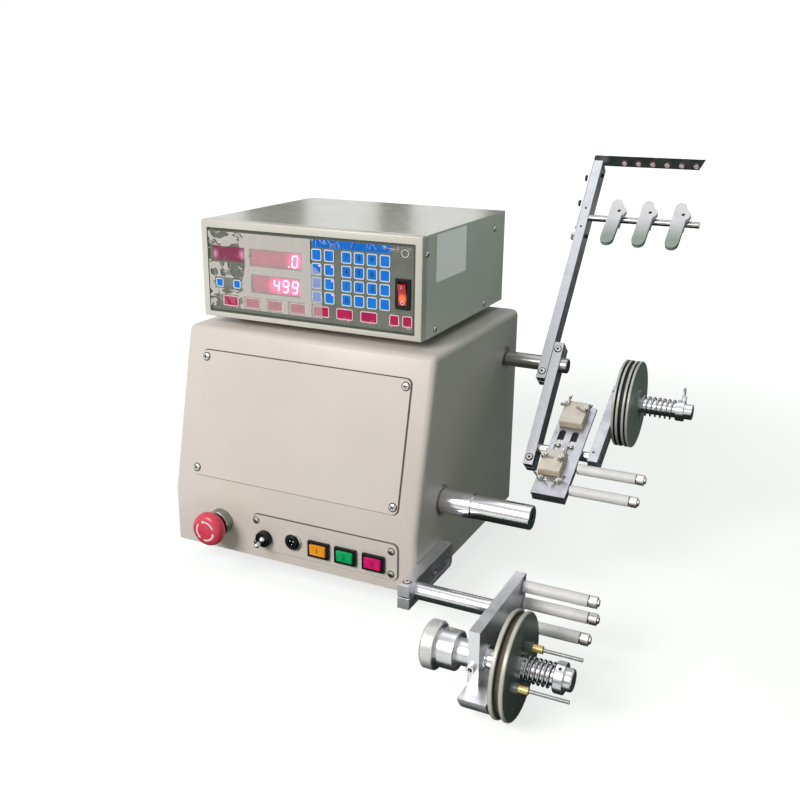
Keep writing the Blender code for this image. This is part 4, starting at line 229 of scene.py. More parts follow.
def lit_from_behind(name, tones, roughness, glow, strength, reach_mm, *lamps):
    """Tinted plastic with lamps behind it, which glows round each lamp and fades away from it."""
    material, tree, place = blank(name, Roughness=roughness, Emission_Color=linear(glow))
    drift = add(tree, "TexNoise", {"Vector": place, "Scale": per(8), "Detail": 3.0})
    brightest = 0.0
    for lamp in lamps:
        away = add(tree, "VectorMath", [place, MACHINE @ Vector(lamp)], operation="DISTANCE")
        share = add(tree, "MapRange", [away, 0.0, reach_mm * MM, strength, 0.0],
                    interpolation_type="SMOOTHSTEP")
        brightest = add(tree, "Math", [brightest, share], operation="MAXIMUM")
    return wire_up(material, {"Base Color": toned(tree, drift, 0.35, 0.65, *tones.split()),
                              "Emission Strength": brightest})


def clear_film(name):
    """The clear protective film left on the key panel: thin polyethylene that has lifted and
    wrinkled. It is drawn pale over its left part and in scattered areas, clearer where it clings to
    keys and windows, and with bright crease lines where it is slack: painted glare and painted
    highlights."""
    material, tree, place = blank(name, Roughness=0.16, Specular_IOR_Level=0.3)
    across, _, up = add(tree, "SeparateXYZ", [place]).outputs
    clinging = add(tree, "Attribute", attribute_name="cling").outputs["Fac"]
    wander = add(tree, "TexNoise", {"Vector": place, "Scale": per(28), "Detail": 1.5,
                                    "Distortion": 0.8})
    strayed = add(tree, "Math", [wander, 0.05, across], operation="MULTIPLY_ADD")
    # Painted glare: the film is drawn pale over its left part and in scattered areas, less where it
    # clings
    past_left = add(tree, "MapRange", [strayed, -0.1790, -0.1760])
    cloud = add(tree, "TexNoise", {"Vector": place, "Scale": per(24), "Detail": 2.0,
                                   "Distortion": 1.6})
    patches = add(tree, "MapRange", [cloud, 0.52, 0.54])
    lifted = add(tree, "Math", [past_left, patches], operation="MAXIMUM")
    right_edge = add(tree, "MapRange", [up, 0.352, 0.362, -0.0965, -0.1110])
    nudged = add(tree, "Math", [wander, 0.004, across], operation="MULTIPLY_ADD")
    within = add(tree, "Math", [nudged, right_edge], operation="LESS_THAN")
    milk = add(tree, "Math", [lifted, within], operation="MULTIPLY")
    depth = add(tree, "MapRange", [clinging, 0.0, 1.0, 0.64, 0.32], clamp=False)
    painted_glare = add(tree, "Math", [milk, depth], operation="MULTIPLY")
    crease = add(tree, "TexNoise", {"Vector": place, "Scale": per(24), "Detail": 3.0,
                                    "Distortion": 2.4})
    from_ridge = add(tree, "Math", [crease, 0.5], operation="SUBTRACT")
    ridge = add(tree, "Math", [from_ridge], operation="ABSOLUTE")
    # Painted highlights: bright lines along the creases where the film is slack
    line = add(tree, "MapRange", [ridge, 0.006, 0.020, 0.8, 0.0])
    top = add(tree, "MapRange", [up, 0.3800, 0.3880])
    bottom = add(tree, "MapRange", [up, 0.3090, 0.3020])
    edges = add(tree, "Math", [top, bottom], operation="MAXIMUM")
    left = add(tree, "MapRange", [past_left, 0.0, 1.0, 1.0, 0.0])
    slack = add(tree, "Math", [edges, left], operation="MAXIMUM")
    loose = add(tree, "MapRange", [clinging, 0.0, 1.0, 1.0, 0.0])
    free = add(tree, "Math", [slack, loose], operation="MULTIPLY")
    painted_crease_highlights = add(tree, "Math", [line, free], operation="MULTIPLY")
    seen = add(tree, "Math", [painted_glare, painted_crease_highlights], operation="MAXIMUM")
    return wire_up(material, {"Base Color": linear("ebe6e3"), "Alpha": seen}, crease, 1.2, 0.7)


ALONG_Y, ALONG_Z, AROUND_X = (1.0, 30.0, 1.0), (1.0, 1.0, 30.0), (1.0, 24.0, 24.0)
ALL_WAYS = (1.0, 1.0, 1.0)
DULL = {"Specular_IOR_Level": 0.2}
# Powdery cream enamel on the cabinet's folded sheet
CREAM = baked_enamel("cream_enamel", "dbd3ce d7cfc9 bdb5ae", 0.42)
# The lid's enamel is glossier and a little greyer, from handling
LID = baked_enamel("lid_enamel", "d6d5cc d0cfc6 b8b6ac", 0.20, 9.0, 0.02)
# Its right side takes a paler, duller copy of the enamel: the paler tone is painted light on that
# face
LID_SIDE_PAINTED_LIGHTER = baked_enamel("lid_side_painted_lighter", "f4f6ee eef0e8 d2d4cc", 0.42, 4.0, 0.02)
# The front frame is a lighter cream moulding
FRAME_CREAM = baked_enamel("frame_enamel", "d6d4cb d0cec4 b9b6ab", 0.30)
# Grey enamel on the control box's chassis, duller because nobody sees it
CHASSIS = baked_enamel("grey_enamel", "b9bab4 aeb0a9 8e908a", 0.5)
# Zinc-plated sheet under and behind the cabinet, with the faint clouds of its plating
ZINC = worked_metal("zinc_plate", "d2d5d8 c8cbcf bcbfc3", 0.58, (1.0, 1.0, 6.0), 1.6,
                    depth_mm=0.004, spots=0.15)
# Aluminium bar, milled and brushed along its length
# The three copies also differ in tone as painted light and shade: the level bars lighter, the leaning
# bars darker
BAR = worked_metal("brushed_bar_upright", "c1c4c8 a7abb0 898d92", 0.36, ALONG_Z, 0.45,
                   math.radians(40), spots=0.25)
BAR_STEEP = worked_metal("brushed_bar_steep", "babac0 a2a3a9 85868c", 0.40, ALONG_Z, 0.45,
                         math.radians(60), spots=0.25)
BAR_LEVEL = worked_metal("brushed_bar_level", "e2e2e6 c9cacf a5a6ad", 0.38, ALONG_Y, 0.45,
                         spots=0.25)
# Steel rod, ground and polished, with faint lines around it
ROD = worked_metal("ground_rod", "d9d8db c2c2c6 a4a4a8", 0.18, AROUND_X, 0.9, depth_mm=0.001)
# The guide rod and the traverse shaft take a darker copy of the rod: a painted dark reflection of the
# room round them
ROD_PAINTED_DARK = worked_metal("rod_painted_dark", "a9a7a6 8f8d8b 6c6a69", 0.2, AROUND_X, depth_mm=0.004)
# Chromed screw heads, polished before plating, so they mirror the room
CHROME = worked_metal("chrome_screw", "e2e2e2 cfcfd0 98989a", 0.14, ALL_WAYS, 0.8, depth_mm=0.004)
# Spring wire, drawn and tempered
SPRING = worked_metal("drawn_spring_wire", "c2c5c9 9a9da2 5d6064", 0.24, ALL_WAYS, 0.9,
                      depth_mm=0.006, spots=0.3)
# Brass posts turned on a lathe, dulled by air
BRASS = worked_metal("turned_brass", "c6b27a a4905c 77683f", 0.34, AROUND_X)
# The pins in the brake wheel's posts are dull drawn steel, and the knob's knurl holds grease
PIN = worked_metal("dull_steel_pin", "8c9090 747878 565a5a", 0.34, AROUND_X)
KNURL = worked_metal("knurled_aluminium", "e2e0de c9c7c5 8b8987", 0.34, ALL_WAYS, 0.8)
# Bright nickel on the wing nuts, dull where fingers don't reach
NICKEL = worked_metal("nickelled_wing_nut", "cfceca a3a29d 6b6a65", 0.24, ALL_WAYS, 1.2, spots=0.5)
# The rollers' turned end caps
CAP = worked_metal("turned_roller_cap", "dedad8 cbc6c4 aaa5a3", 0.44, AROUND_X, 0.6, depth_mm=0.004)
# The stop button's collar is plated, and dark with the room it mirrors
COLLAR = worked_metal("plated_collar", "98a39b 7f8a82 5f6a62", 0.3, AROUND_X, 0.8)
# Aluminium and steel faced on a lathe, with fine rings that catch the light
TURNED = turned_metal("turned_aluminium", "d8d8da bcbcc0", 0.28, BRAKE_AXIS)
NOSE = turned_metal("ground_spindle", "dad8da c4c2c6", 0.15, SPINDLE_AXIS)
# Grey-green enamel on the turned pulleys, whose rims are rubbed pale by the wire
TENSION_FACE = turned_metal("enamelled_pulley_upper", "a3aaa4 979e98", 0.38, TENSION_AXIS,
                            metallic=0.15, rim=(0.0495, "bcbdb8"))
BRAKE_FACE = turned_metal("enamelled_pulley_lower", "6a716b 5e655f", 0.38, BRAKE_AXIS,
                          metallic=0.15, rim=(0.0486, "c6c3bb"))
# Leather lines the brake's groove and rubber the tension wheel's grooves
GROOVE_LEATHER = moulded("groove_leather", "6e6252 5a4f40", 0.75, 0.8, 0.1)
GROOVE_RUBBER = moulded("groove_rubber", "101211 0a0c0b", 0.7, 0.8, 0.05)
# Nylon turned from white rod, with a satin skin
NYLON = moulded("white_nylon", "f4f3f4 eceaec", 0.40, 0.9)
# The guide fingers' tips are drawn in a darker grey-green than the heads: painted shade for the light
# passing through the thin plastic
FINGER_NYLON = moulded("moulded_finger_nylon", "f1eff6 e6e4ec", 0.34, 0.9,
                       thin=("95a19b", 0.3420, 0.3620))
# Eyelets of glazed ceramic, glassy where the wire runs, with pink ones' flanges below
CERAMIC = moulded("glazed_ceramic", "f4f0ec eae4de", 0.12, 1.2, 0.005, Coat_Weight=0.5)
CERAMIC_PINK = moulded("pink_ceramic", "e8a8a4 dd9691", 0.18, 1.2, 0.005, Coat_Weight=0.5)
# Black plastic of bezels and switches, the motors' enamel and the feet's rubber
BLACK = moulded("black_plastic", "0d0e10 141517", 0.34, **DULL)
MOTOR = moulded("motor_enamel", "202225 2a2c2f", 0.45, 1.4, 0.05)
RUBBER = moulded("black_rubber", "1c1c1d 252526", 0.8, 1.0, 0.06)
# Signal-red plastic of the mushroom head, and the coloured push-button lenses
RED = moulded("signal_red_plastic", "e2455f d93c58", 0.3, 0.9, 0.01)
YELLOW = moulded("yellow_lens", "fba528 f2981a", 0.25, 0.9, 0.01, **DULL)
GREEN = moulded("green_lens", "0cb46e 06a25c", 0.25, 0.9, 0.01, **DULL)
MAGENTA = moulded("magenta_lens", "e8207c d8186e", 0.25, 0.9, 0.01, **DULL)
# The rocker is red translucent plastic with a neon lamp in it
ROCKER_RED = lit_from_behind("lit_rocker_red", "c4202a a81822", 0.16, "ff7a38", 1.1, 7.0,
                             (0.109, -0.0898, 0.3035))
# Inks, printed thin and flat
LEGEND = moulded("legend_ink", "3c2f2a 2f2522", 0.5, **DULL)
INK_DARK = moulded("panel_ink", "141d2c 101824", 0.4, **DULL)
INK_WHITE = moulded("white_ink", "f0efed e4e3e1", 0.4)
# The panel is polyester film printed on its back, so its colours sit under a glossy skin
PANEL = moulded("panel_film", "686d63 5f645b", 0.22, 1.5, 0.01)
KEY_RIM = moulded("key_outline_ink", "dbe9f2 cfe2ee", 0.25)
PINK_RIM = moulded("pink_key_outline_ink", "f3cdd9 ecc0cf", 0.25)
KEY_BLUE = moulded("blue_key_ink", "0070dc 0680ec", 0.24, 1.5, 0.01, **DULL)
KEY_PINK = moulded("magenta_key_ink", "bc1259 aa0c4e", 0.24, 1.5, 0.01, **DULL)
HEADER_BLUE = moulded("blue_header_ink", "0066c8 0672d6", 0.24, 1.5, 0.01, **DULL)
# Tinted windows: one with little lit behind it, two that glow round their lit figures
WINDOW_DARK = lit_from_behind("red_window", "8a0a48 74073c", 0.14, "e89ac0", 0.7, 8.0,
                              (-0.127, -0.0869, 0.331), (-0.088, -0.0869, 0.332))
WINDOW_LIT = lit_from_behind("lit_red_window", "cc3c70 b83062", 0.14, "ff3c96", 1.5, 15.0,
                             (-0.0200, -0.0869, 0.3302), (-0.0220, -0.0869, 0.3018),
                             (-0.0330, -0.0869, 0.3018), (-0.0440, -0.0869, 0.3018))
DIGIT = lit("lit_segment", "ff9cc8", 3.2)
LED = lit("led_dot", "ff7ac0", 1.0)
# Label paper whose faint glow is painted light, so it looks whiter than the enamel
PAPER = moulded("blank_label_paper", "ffffff fafaf8", 0.30, 0.8, 0.01, Emission_Color=WHITE,
                Emission_Strength=0.16)
# Ivory plastic of the plates that press the felts
PRESS_PLATE = moulded("ivory_press_plate", "ece5da e2dace", 0.4, 0.9)
# Painted shade: dark pieces where a narrow gap, the panel's recessed edge and a hole lie in shadow,
# each showing less light than the last
GAP_SHADOW = moulded("shadow_gap", "6e675f 625b54", 0.8)
PANEL_EDGE_SHADE = moulded("panel_edge_painted_shade", "39413a 2f362f", 0.5)
HOLE = moulded("shadowed_hole", "0c0d0d 131414", 0.7)
WOOL = pressed_felt("wool_felt", "e2d4bd", "c6b498")
FILM = clear_film("clear_protective_film")


# Meshes in the maker's terms

def from_bmesh(shape):
    bmesh.ops.recalc_face_normals(shape, faces=shape.faces)
    mesh = bpy.data.meshes.new("shape")
    shape.to_mesh(mesh)
    shape.free()
    return mesh


def bridged(shape, rings):
    """Faces between each ring of points and the next, and back to the first."""
    for low, high in zip(rings, rings[1:] + rings[:1]):
        for here in range(len(low)):
            there = (here + 1) % len(low)
            shape.faces.new((low[here], low[there], high[there], high[here]))
    return from_bmesh(shape)


def turned(profile, steps=48, closed=False):
    """A body turned about Z, from points given as height and radius."""
    shape = bmesh.new()
    rings = []
    for height, radius in profile:
        turns = [2 * math.pi * number / steps for number in range(steps if radius else 1)]
        rings.append([shape.verts.new((radius * math.cos(t), radius * math.sin(t), height))
                      for t in turns])
    for low, high in zip(rings, rings[1:] + (rings[:1] if closed else [])):
        for here in range(steps):
            there = (here + 1) % steps
            corners = (low[here % len(low)], low[there % len(low)], high[there % len(high)],
                       high[here % len(high)])
            corners = list(dict.fromkeys(corners))
            if len(corners) > 2:
                shape.faces.new(corners)
    return from_bmesh(shape)


def disc(radius, steps=48, thickness=PRINT):
    """A flat disc standing on Z."""
    return turned([(0.0, 0.0), (0.0, radius), (thickness, radius), (thickness, 0.0)], steps)


def peg(low, high, radius, edge, steps):
    """A round bar along Z, its upper edge broken."""
    return turned([(low, 0.0), (low, radius), (high - edge, radius), (high, radius - edge),
                   (high, 0.0)], steps)


def sleeve(radius, bore, length, edge=0.0003, steps=48):
    """A plain bush standing on Z, with its edges broken."""
    return turned([(edge, bore), (0.0, bore + edge), (0.0, radius - edge), (edge, radius),
                   (length - edge, radius), (length, radius - edge), (length, bore + edge),
                   (length - edge, bore)], steps, closed=True)


def cut_out(points, thickness, edge=0.0):
    """A flat shape of that outline, lying on the XY plane, its upper edge broken."""
    shape = bmesh.new()
    face = shape.faces.new([shape.verts.new((x, y, 0.0)) for x, y in points])
    grown = bmesh.ops.extrude_face_region(shape, geom=[face])
    top = [item for item in grown["geom"] if isinstance(item, bmesh.types.BMVert)]
    bmesh.ops.translate(shape, vec=(0.0, 0.0, thickness), verts=top)
    if edge:
        brink = [e for e in shape.edges if all(v.co.z > thickness / 2 for v in e.verts)]
        bmesh.ops.bevel(shape, geom=brink, offset=edge, segments=2, affect="EDGES", profile=0.5)
    return from_bmesh(shape)


def rounded(width, height, corner):
    """The outline of a rectangle with round corners, about its middle."""
    points, steps = [], 5
    for quarter, (sx, sy) in enumerate(((1, 1), (-1, 1), (-1, -1), (1, -1))):
        for step in range(steps + 1):
            turn = math.pi / 2 * (quarter + step / steps)
            points.append((sx * (width / 2 - corner) + corner * math.cos(turn),
                           sy * (height / 2 - corner) + corner * math.sin(turn)))
    return points


def tag(width, height, corner, thickness, edge=0.0):
    return cut_out(rounded(width, height, corner), thickness, edge)


def rim(width, height, corner, wide, thickness):
    """A flat frame of even width, lying on the XY plane."""
    shape = bmesh.new()
    outer = rounded(width, height, corner)
    inner = rounded(width - 2 * wide, height - 2 * wide, max(corner - wide, 0.0001))
    sides = ((outer, 0.0), (outer, thickness), (inner, thickness), (inner, 0.0))
    return bridged(shape, [[shape.verts.new((x, y, z)) for x, y in outline] for outline, z in sides])


def assembled(parts):
    """One mesh from several, each with the matrix that puts it in place."""
    shape = bmesh.new()
    for mesh, matrix in parts:
        count = len(shape.verts)
        shape.from_mesh(mesh)
        shape.verts.ensure_lookup_table()
        bmesh.ops.transform(shape, matrix=matrix, verts=shape.verts[count:])
    mesh = bpy.data.meshes.new("assembled")
    shape.to_mesh(mesh)
    shape.free()
    return mesh


def new_object(name, data):
    """A new object of that data, in the scene."""
    obj = bpy.data.objects.new(name, data)
    bpy.context.scene.collection.objects.link(obj)
    return obj


def evaluated(obj):
    """The finished mesh of an object with modifiers, as plain data. The object is removed."""
    made = bpy.data.meshes.new_from_object(obj.evaluated_get(bpy.context.evaluated_depsgraph_get()))
    bpy.data.objects.remove(obj)
    return made


def recessed(mesh, *tools):
    """A mesh with recesses cut into it."""
    body = new_object("blank", mesh)
    cutters = [new_object("tool", tool) for tool in tools]
    for cutter in cutters:
        cut = body.modifiers.new("cut", "BOOLEAN")
        cut.operation, cut.solver, cut.object = "DIFFERENCE", "EXACT", cutter
    made = evaluated(body)
    for cutter in cutters:
        bpy.data.objects.remove(cutter)
    return made


def on_front(x, y, z):
    """The matrix that stands a flat shape up, facing the operator."""
    return Matrix.Translation((x, y, z)) @ Matrix.Rotation(math.pi / 2, 4, "X")


def along_x(x, axis):
    """The matrix that lays a turned body on an axis, starting at x."""
    return Matrix.Translation((x, axis.y, axis.z)) @ Matrix.Rotation(math.pi / 2, 4, "Y")


def piece(name, mesh, place, finish, body, slot, *instead_of):
    """A finished piece at a place in the machine, which rides on a body and takes a finish. slot is
    not used.
    """
    mesh.transform(MACHINE @ place)
    mesh.materials.clear()
    mesh.materials.append(finish)
    mesh.shade_smooth()
    mesh.set_sharp_from_angle(angle=SMOOTH_BELOW)
    mesh.name = name
    obj = new_object(name, mesh)
    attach(obj, body)
    if instead_of:
        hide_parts(*instead_of)
    return obj


# Geometry node trees

def new_tree(name, sockets):
    """An empty tree with a geometry input and output, and the named inputs given."""
    tree = bpy.data.node_groups.new(name, "GeometryNodeTree")
    tree.interface.new_socket("Geometry", in_out="INPUT", socket_type="NodeSocketGeometry")
    for socket, kind in sockets.items():
        tree.interface.new_socket(socket, in_out="INPUT", socket_type="NodeSocket" + kind)
    tree.interface.new_socket("Geometry", in_out="OUTPUT", socket_type="NodeSocketGeometry")
    return tree, add(tree, "NodeGroupInput").outputs


def run_tree(tree, mesh, values):
    """The mesh that a tree makes of a mesh, with its named inputs set."""
    obj = new_object("worked", mesh)
    modifier = obj.modifiers.new("tree", "NODES")
    modifier.node_group = tree
    for item in tree.interface.items_tree:
        if item.in_out == "INPUT" and item.name in values:
            modifier[item.identifier] = values[item.name]
    return evaluated(obj)


def fastener_tree():
    """Sets a head on each point, along its facing and turned about it."""
    tree, given = new_tree("set_fasteners", {"Head": "Object", "Finish": "Material"})
    head = add(tree, "GeometryNodeObjectInfo", {"Object": given["Head"]})
    face = add(tree, "GeometryNodeInputNamedAttribute", {"Name": "facing"}, data_type="FLOAT_VECTOR")
    turn = add(tree, "GeometryNodeInputNamedAttribute", {"Name": "turn"}, data_type="FLOAT")
    about = add(tree, "CombineXYZ", {"Z": turn})
    spin = add(tree, "FunctionNodeEulerToRotation", [about])
    stand = add(tree, "FunctionNodeAlignRotationToVector", {"Vector": face}, axis="Z")
    whole = add(tree, "FunctionNodeRotateRotation", {"Rotation": stand, "Rotate By": spin},
                rotation_space="LOCAL")
    spread = add(tree, "GeometryNodeInstanceOnPoints",
                 {"Points": given["Geometry"], "Instance": head.outputs["Geometry"],
                  "Rotation": whole})
    real = add(tree, "GeometryNodeRealizeInstances", [spread])
    done = add(tree, "GeometryNodeSetMaterial", {"Geometry": real, "Material": given["Finish"]})
    add(tree, "NodeGroupOutput", {"Geometry": done})
    return tree


def spring_tree():
    """Winds a compression spring up Z from its radius, wire, length and turns."""
    sizes = {name: "Float" for name in ("Radius", "Wire", "Length", "Turns")}
    tree, given = new_tree("wind_spring", {**sizes, "Finish": "Material"})
    half = add(tree, "Math", [given["Wire"], 0.5], operation="MULTIPLY")
    rise = add(tree, "Math", [given["Length"], given["Wire"]], operation="SUBTRACT")
    coil = add(tree, "GeometryNodeCurveSpiral",
               {"Resolution": 40, "Rotations": given["Turns"], "Start Radius": given["Radius"],
                "End Radius": given["Radius"], "Height": rise})
    wire = add(tree, "GeometryNodeCurvePrimitiveCircle", {"Resolution": 14, "Radius": half})
    body = add(tree, "GeometryNodeCurveToMesh", {"Curve": coil, "Profile Curve": wire,
                                                 "Fill Caps": True})
    above = add(tree, "CombineXYZ", {"Z": half})
    lifted = add(tree, "GeometryNodeTransform", {"Geometry": body, "Translation": above})
    real = add(tree, "GeometryNodeRealizeInstances", [lifted])
    done = add(tree, "GeometryNodeSetMaterial", {"Geometry": real, "Material": given["Finish"]})
    add(tree, "NodeGroupOutput", {"Geometry": done})
    return tree


FASTENERS = fastener_tree()
SPRINGS = spring_tree()


def set_out(name, head, places, finish, body, slot):
    """Sets the same head at several places, each a point, the way it faces and its turn."""
    points = bpy.data.meshes.new("places")
    points.from_pydata([tuple(place) for place, _, _ in places], [], [])
    points.attributes.new("facing", "FLOAT_VECTOR", "POINT")
    points.attributes.new("turn", "FLOAT", "POINT")
    for number, (_, normal, turn) in enumerate(places):
        points.attributes["facing"].data[number].vector = normal
        points.attributes["turn"].data[number].value = turn
    pattern = new_object("head", head)
    mesh = run_tree(FASTENERS, points, {"Head": pattern, "Finish": finish})
    bpy.data.objects.remove(pattern)
    piece(name, mesh, UPRIGHT, finish, body, slot)


def on(axes, normal, *rows):
    """Places on a leaning bar: rows give local X, Y, Z and a turn."""
    turned_normal = axes.to_3x3() @ Vector(normal)
    return [(axes @ Vector(row[:3]), turned_normal, row[3] if len(row) > 3 else 0.0) for row in rows]


# Finishes of the CAD nodes

def in_box(tree, place, low, high):
    """Whether a place lies in a box given by two corners."""
    low, high = MACHINE @ Vector(low), MACHINE @ Vector(high)
    off = add(tree, "VectorMath", [place, (low + high) / 2], operation="SUBTRACT")
    size = add(tree, "VectorMath", [off], operation="ABSOLUTE")
    split = add(tree, "SeparateXYZ", [size]).outputs
    near = [add(tree, "FunctionNodeCompare", [share, reach], operation="LESS_THAN")
            for share, reach in zip(split, (high - low) / 2)]
    flat = add(tree, "FunctionNodeBooleanMath", near[:2])
    return add(tree, "FunctionNodeBooleanMath", [flat, near[2]])


def softening_tree(zones):
    """Joins a node's loose triangles, smooths its round faces and gives some faces another finish.
    A zone is a finish and the two corners of a box."""
    tree, given = new_tree("soften_and_finish", {})
    joined = add(tree, "GeometryNodeMergeByDistance", {"Geometry": given["Geometry"],
                                                       "Distance": 0.00001})
    angle = add(tree, "GeometryNodeInputMeshEdgeAngle")
    sharp = add(tree, "FunctionNodeCompare", [angle, SMOOTH_BELOW], operation="GREATER_THAN")
    last = add(tree, "GeometryNodeSetMeshNormal",
               {"Mesh": joined, "Remove Custom": True, "Edge Sharpness": sharp,
                "Face Sharpness": False}, mode="SHARPNESS")
    place = add(tree, "GeometryNodeInputPosition")
    for finish, low, high in zones:
        last = add(tree, "GeometryNodeSetMaterial",
                   {"Geometry": last, "Selection": in_box(tree, place, low, high),
                    "Material": finish})
    add(tree, "NodeGroupOutput", {"Geometry": last})
    return tree


def finish_node(name, finish, *zones, rounding=EDGE_ROUNDING):
    """Gives a CAD node its finish and soft edges. Its own mesh isn't changed."""
    obj = NODES[name]
    for material_slot in obj.material_slots:
        material_slot.material = finish
    obj.modifiers.new("soften", "NODES").node_group = softening_tree(zones)
    if rounding:
        edge = obj.modifiers.new("broken_edges", "BEVEL")
        edge.width, edge.segments = rounding, 2
        edge.limit_method, edge.angle_limit = "ANGLE", math.radians(40)
        edge.harden_normals = True


def around(axis, x_low, x_high, reach):
    """The corners of a box about an axis, for a zone."""
    return (x_low, axis.y - reach, axis.z - reach), (x_high, axis.y + reach, axis.z + reach)


PLAIN = ((CREAM, "cabinet_shell access_cover switch_plate"), (FRAME_CREAM, "box_front_frame"),
         (CHASSIS, "box_chassis"), (ZINC, "cabinet_tray"), (PANEL, "key_panel"),
         (RUBBER, "foot_front_left foot_front_right foot_rear_left foot_rear_right"),
         (BLACK, "power_inlet pedal_socket toggle_switch_body rocker_bezel"),
         (BLACK, "bezel_yellow bezel_green bezel_magenta"), (MOTOR, "drive_motor traverse_motor"),
         (BAR_LEVEL, "spindle_housing traverse_housing side_bracket eyelet_strip"),
         (BAR, "mast_bar link_bar"), (ROD, "lead_screw clamp_rod cross_rod tension_collar"),
         (ROD_PAINTED_DARK, "traverse_shaft guide_rod"), (NOSE, "spindle_shaft"),
         (TURNED, "brake_knob brake_nut"), (CHROME, "toggle_lever"), (RED, "estop_head"),
         (COLLAR, "estop_collar"), (ROCKER_RED, "power_rocker"), (YELLOW, "button_yellow"),
         (GREEN, "button_green"), (MAGENTA, "button_magenta"),
         (FINGER_NYLON, "guide_finger_1 guide_finger_2 guide_finger_3"))
for finish, nodes in PLAIN:
    for node in nodes.split():
        finish_node(node, finish)
# The lid's right face takes the paler copy, painted light
finish_node("box_cover", LID, (LID_SIDE_PAINTED_LIGHTER, (0.1303, -1.0, -1.0), (0.2, 1.0, 1.0)))
# Past its right face a plate or arm shows the ends of its steel axles and pins
finish_node("felt_plate", BAR_STEEP, (ROD, (0.2767, -0.1, 0.0), (0.4, 0.2, 0.2)))
finish_node("wheel_arm", BAR_STEEP, (ROD, (0.2970, 0.0, 0.0), (0.4, 0.3, 0.3)))
finish_node("tension_wheel", TENSION_FACE,
            *[(GROOVE_RUBBER, *around(TENSION_AXIS, low - 0.00005, high + 0.00005, 0.06))
              for low, high in TENSION_GROOVES])
finish_node("brake_plate", BAR_LEVEL, (ROD, *around(BRAKE_AXIS, 0.2759, 0.4, 0.0125)),
            (ROD, (0.2930, -0.4, -0.1), (0.4, 0.0, 0.2)), rounding=0.0)
finish_node("brake_wheel", BRAKE_FACE, (TURNED, *around(BRAKE_AXIS, 0.3100, 0.4, 0.0150)),
            *[(BRASS, *around(post, 0.3098, 0.32795, 0.0042)) for post in (UPPER_POST, LOWER_POST)],
            *[(PIN, *around(post, 0.3276, 0.4, 0.0022)) for post in (UPPER_POST, LOWER_POST)])
# start is where a roller begins: its caps are at both ends, and the neck before the outer one takes
# the dull pin steel as painted shade
for holder, start, sides in (("felt", 0.2771, ("upper", "lower")),
                             ("brake", 0.2763, ("upper", "middle", "lower"))):
    ends = ((CAP, start - 0.001, start + 0.0004), (CAP, start + 0.0667, start + 0.076),
            (PIN, start + 0.0643, start + 0.0666))
    zones = [(finish, (low, -1.0, -1.0), (high, 1.0, 1.0)) for finish, low, high in ends]
    for side in sides:
        finish_node(f"{holder}_roller_{side}", NYLON, *zones)


# Fastener heads, each standing on Z

def cross_screw(radius, height):
    """A pan head with a cross recess."""
    head = turned([(0.0, 0.0), (0.0, radius), (height * 0.35, radius),
                   (height * 0.75, radius * 0.86), (height, radius * 0.5), (height, 0.0)], 32)
    wing, long_side = radius * 0.26, radius * 1.15
    cross = [tag(long_side, wing, wing * 0.3, height), tag(wing, long_side, wing * 0.3, height)]
    for tool in cross:
        tool.transform(Matrix.Translation((0.0, 0.0, height * 0.35)))
    return recessed(head, *cross)


def socket_screw(radius, height, key):
    """A cylinder head with a hexagon socket."""
    socket = turned([(height * 0.3, 0.0), (height * 0.3, key), (height * 2, key),
                     (height * 2, 0.0)], 6)
    return recessed(peg(0.0, height, radius, radius * 0.14, 32), socket)


def wing_nut(span, height):
    """A small wing nut on its stud: a tapered boss, two raised ears and the stud's end."""
    boss = turned([(0.0, 0.0), (0.0, height * 0.42), (height * 0.5, height * 0.30),
                   (height * 0.5, 0.0)], 24)
    stud = peg(height * 0.4, height * 0.76, height * 0.16, height * 0.04, 16)
    ear = [(height * 0.18, height * 0.05), (height * 0.42, height * 0.10),
           (span * 0.36, height * 0.38), (span * 0.50, height * 0.72), (span * 0.48, height * 0.95),
           (span * 0.40, height), (span * 0.30, height * 0.86), (span * 0.24, height * 0.55),
           (height * 0.18, height * 0.48)]
    flap = cut_out(ear, height * 0.2, height * 0.05)
    stand = on_front(0.0, height * 0.1, 0.0)
    ears = [(flap, Matrix.Rotation(turn, 4, "Z") @ stand) for turn in (0.0, math.pi)]
    return assembled([(boss, UPRIGHT), (stud, UPRIGHT), *ears])


def nut(flats, height):
    """A hexagon nut with its corners turned down, on its stud."""
    body = peg(0.0, height, flats / 2 / math.cos(math.pi / 6), height * 0.15, 6)
    stud = turned([(height * 0.9, 0.0), (height * 0.9, flats * 0.28), (height * 1.2, flats * 0.28),
                   (height * 1.3, flats * 0.2), (height * 1.3, 0.0)], 16)
    return assembled([(body, UPRIGHT), (stud, UPRIGHT)])


def slotted_screw(radius, height):
    """A cheese head with a slot, on a washer."""
    washer = sleeve(radius * 1.5, radius * 0.4, height * 0.25, 0.0001, 32)
    slot = tag(radius * 2.4, radius * 0.3, radius * 0.02, height)
    slot.transform(Matrix.Translation((0.0, 0.0, height * 0.55)))
    head = recessed(peg(0.0, height, radius, 0.0002, 28), slot)
    return assembled([(washer, UPRIGHT), (head, Matrix.Translation((0, 0, height * 0.2)))])


def cross_screws(name, radius, places):
    """Nickelled pan heads, with painted shade in the cross of each one and a painted shadow ring
    round it.
    """
    height = radius * 0.52
    set_out(name, cross_screw(radius, height), places, NICKEL, "cabinet", "ground_steel")
    arm, width = radius * 1.05, radius * 0.22
    floor_at = Matrix.Translation((0.0, 0.0, height * 0.36))
    shadows = assembled([(sleeve(radius * 1.16, radius * 0.5, 0.00025, 0.00005, 28), UPRIGHT),
                         (tag(arm, width, width * 0.3, height * 0.3), floor_at),
                         (tag(width, arm, width * 0.3, height * 0.3), floor_at)])
    set_out(name + "_shadows", shadows, places, HOLE, "cabinet", "black_plastic")


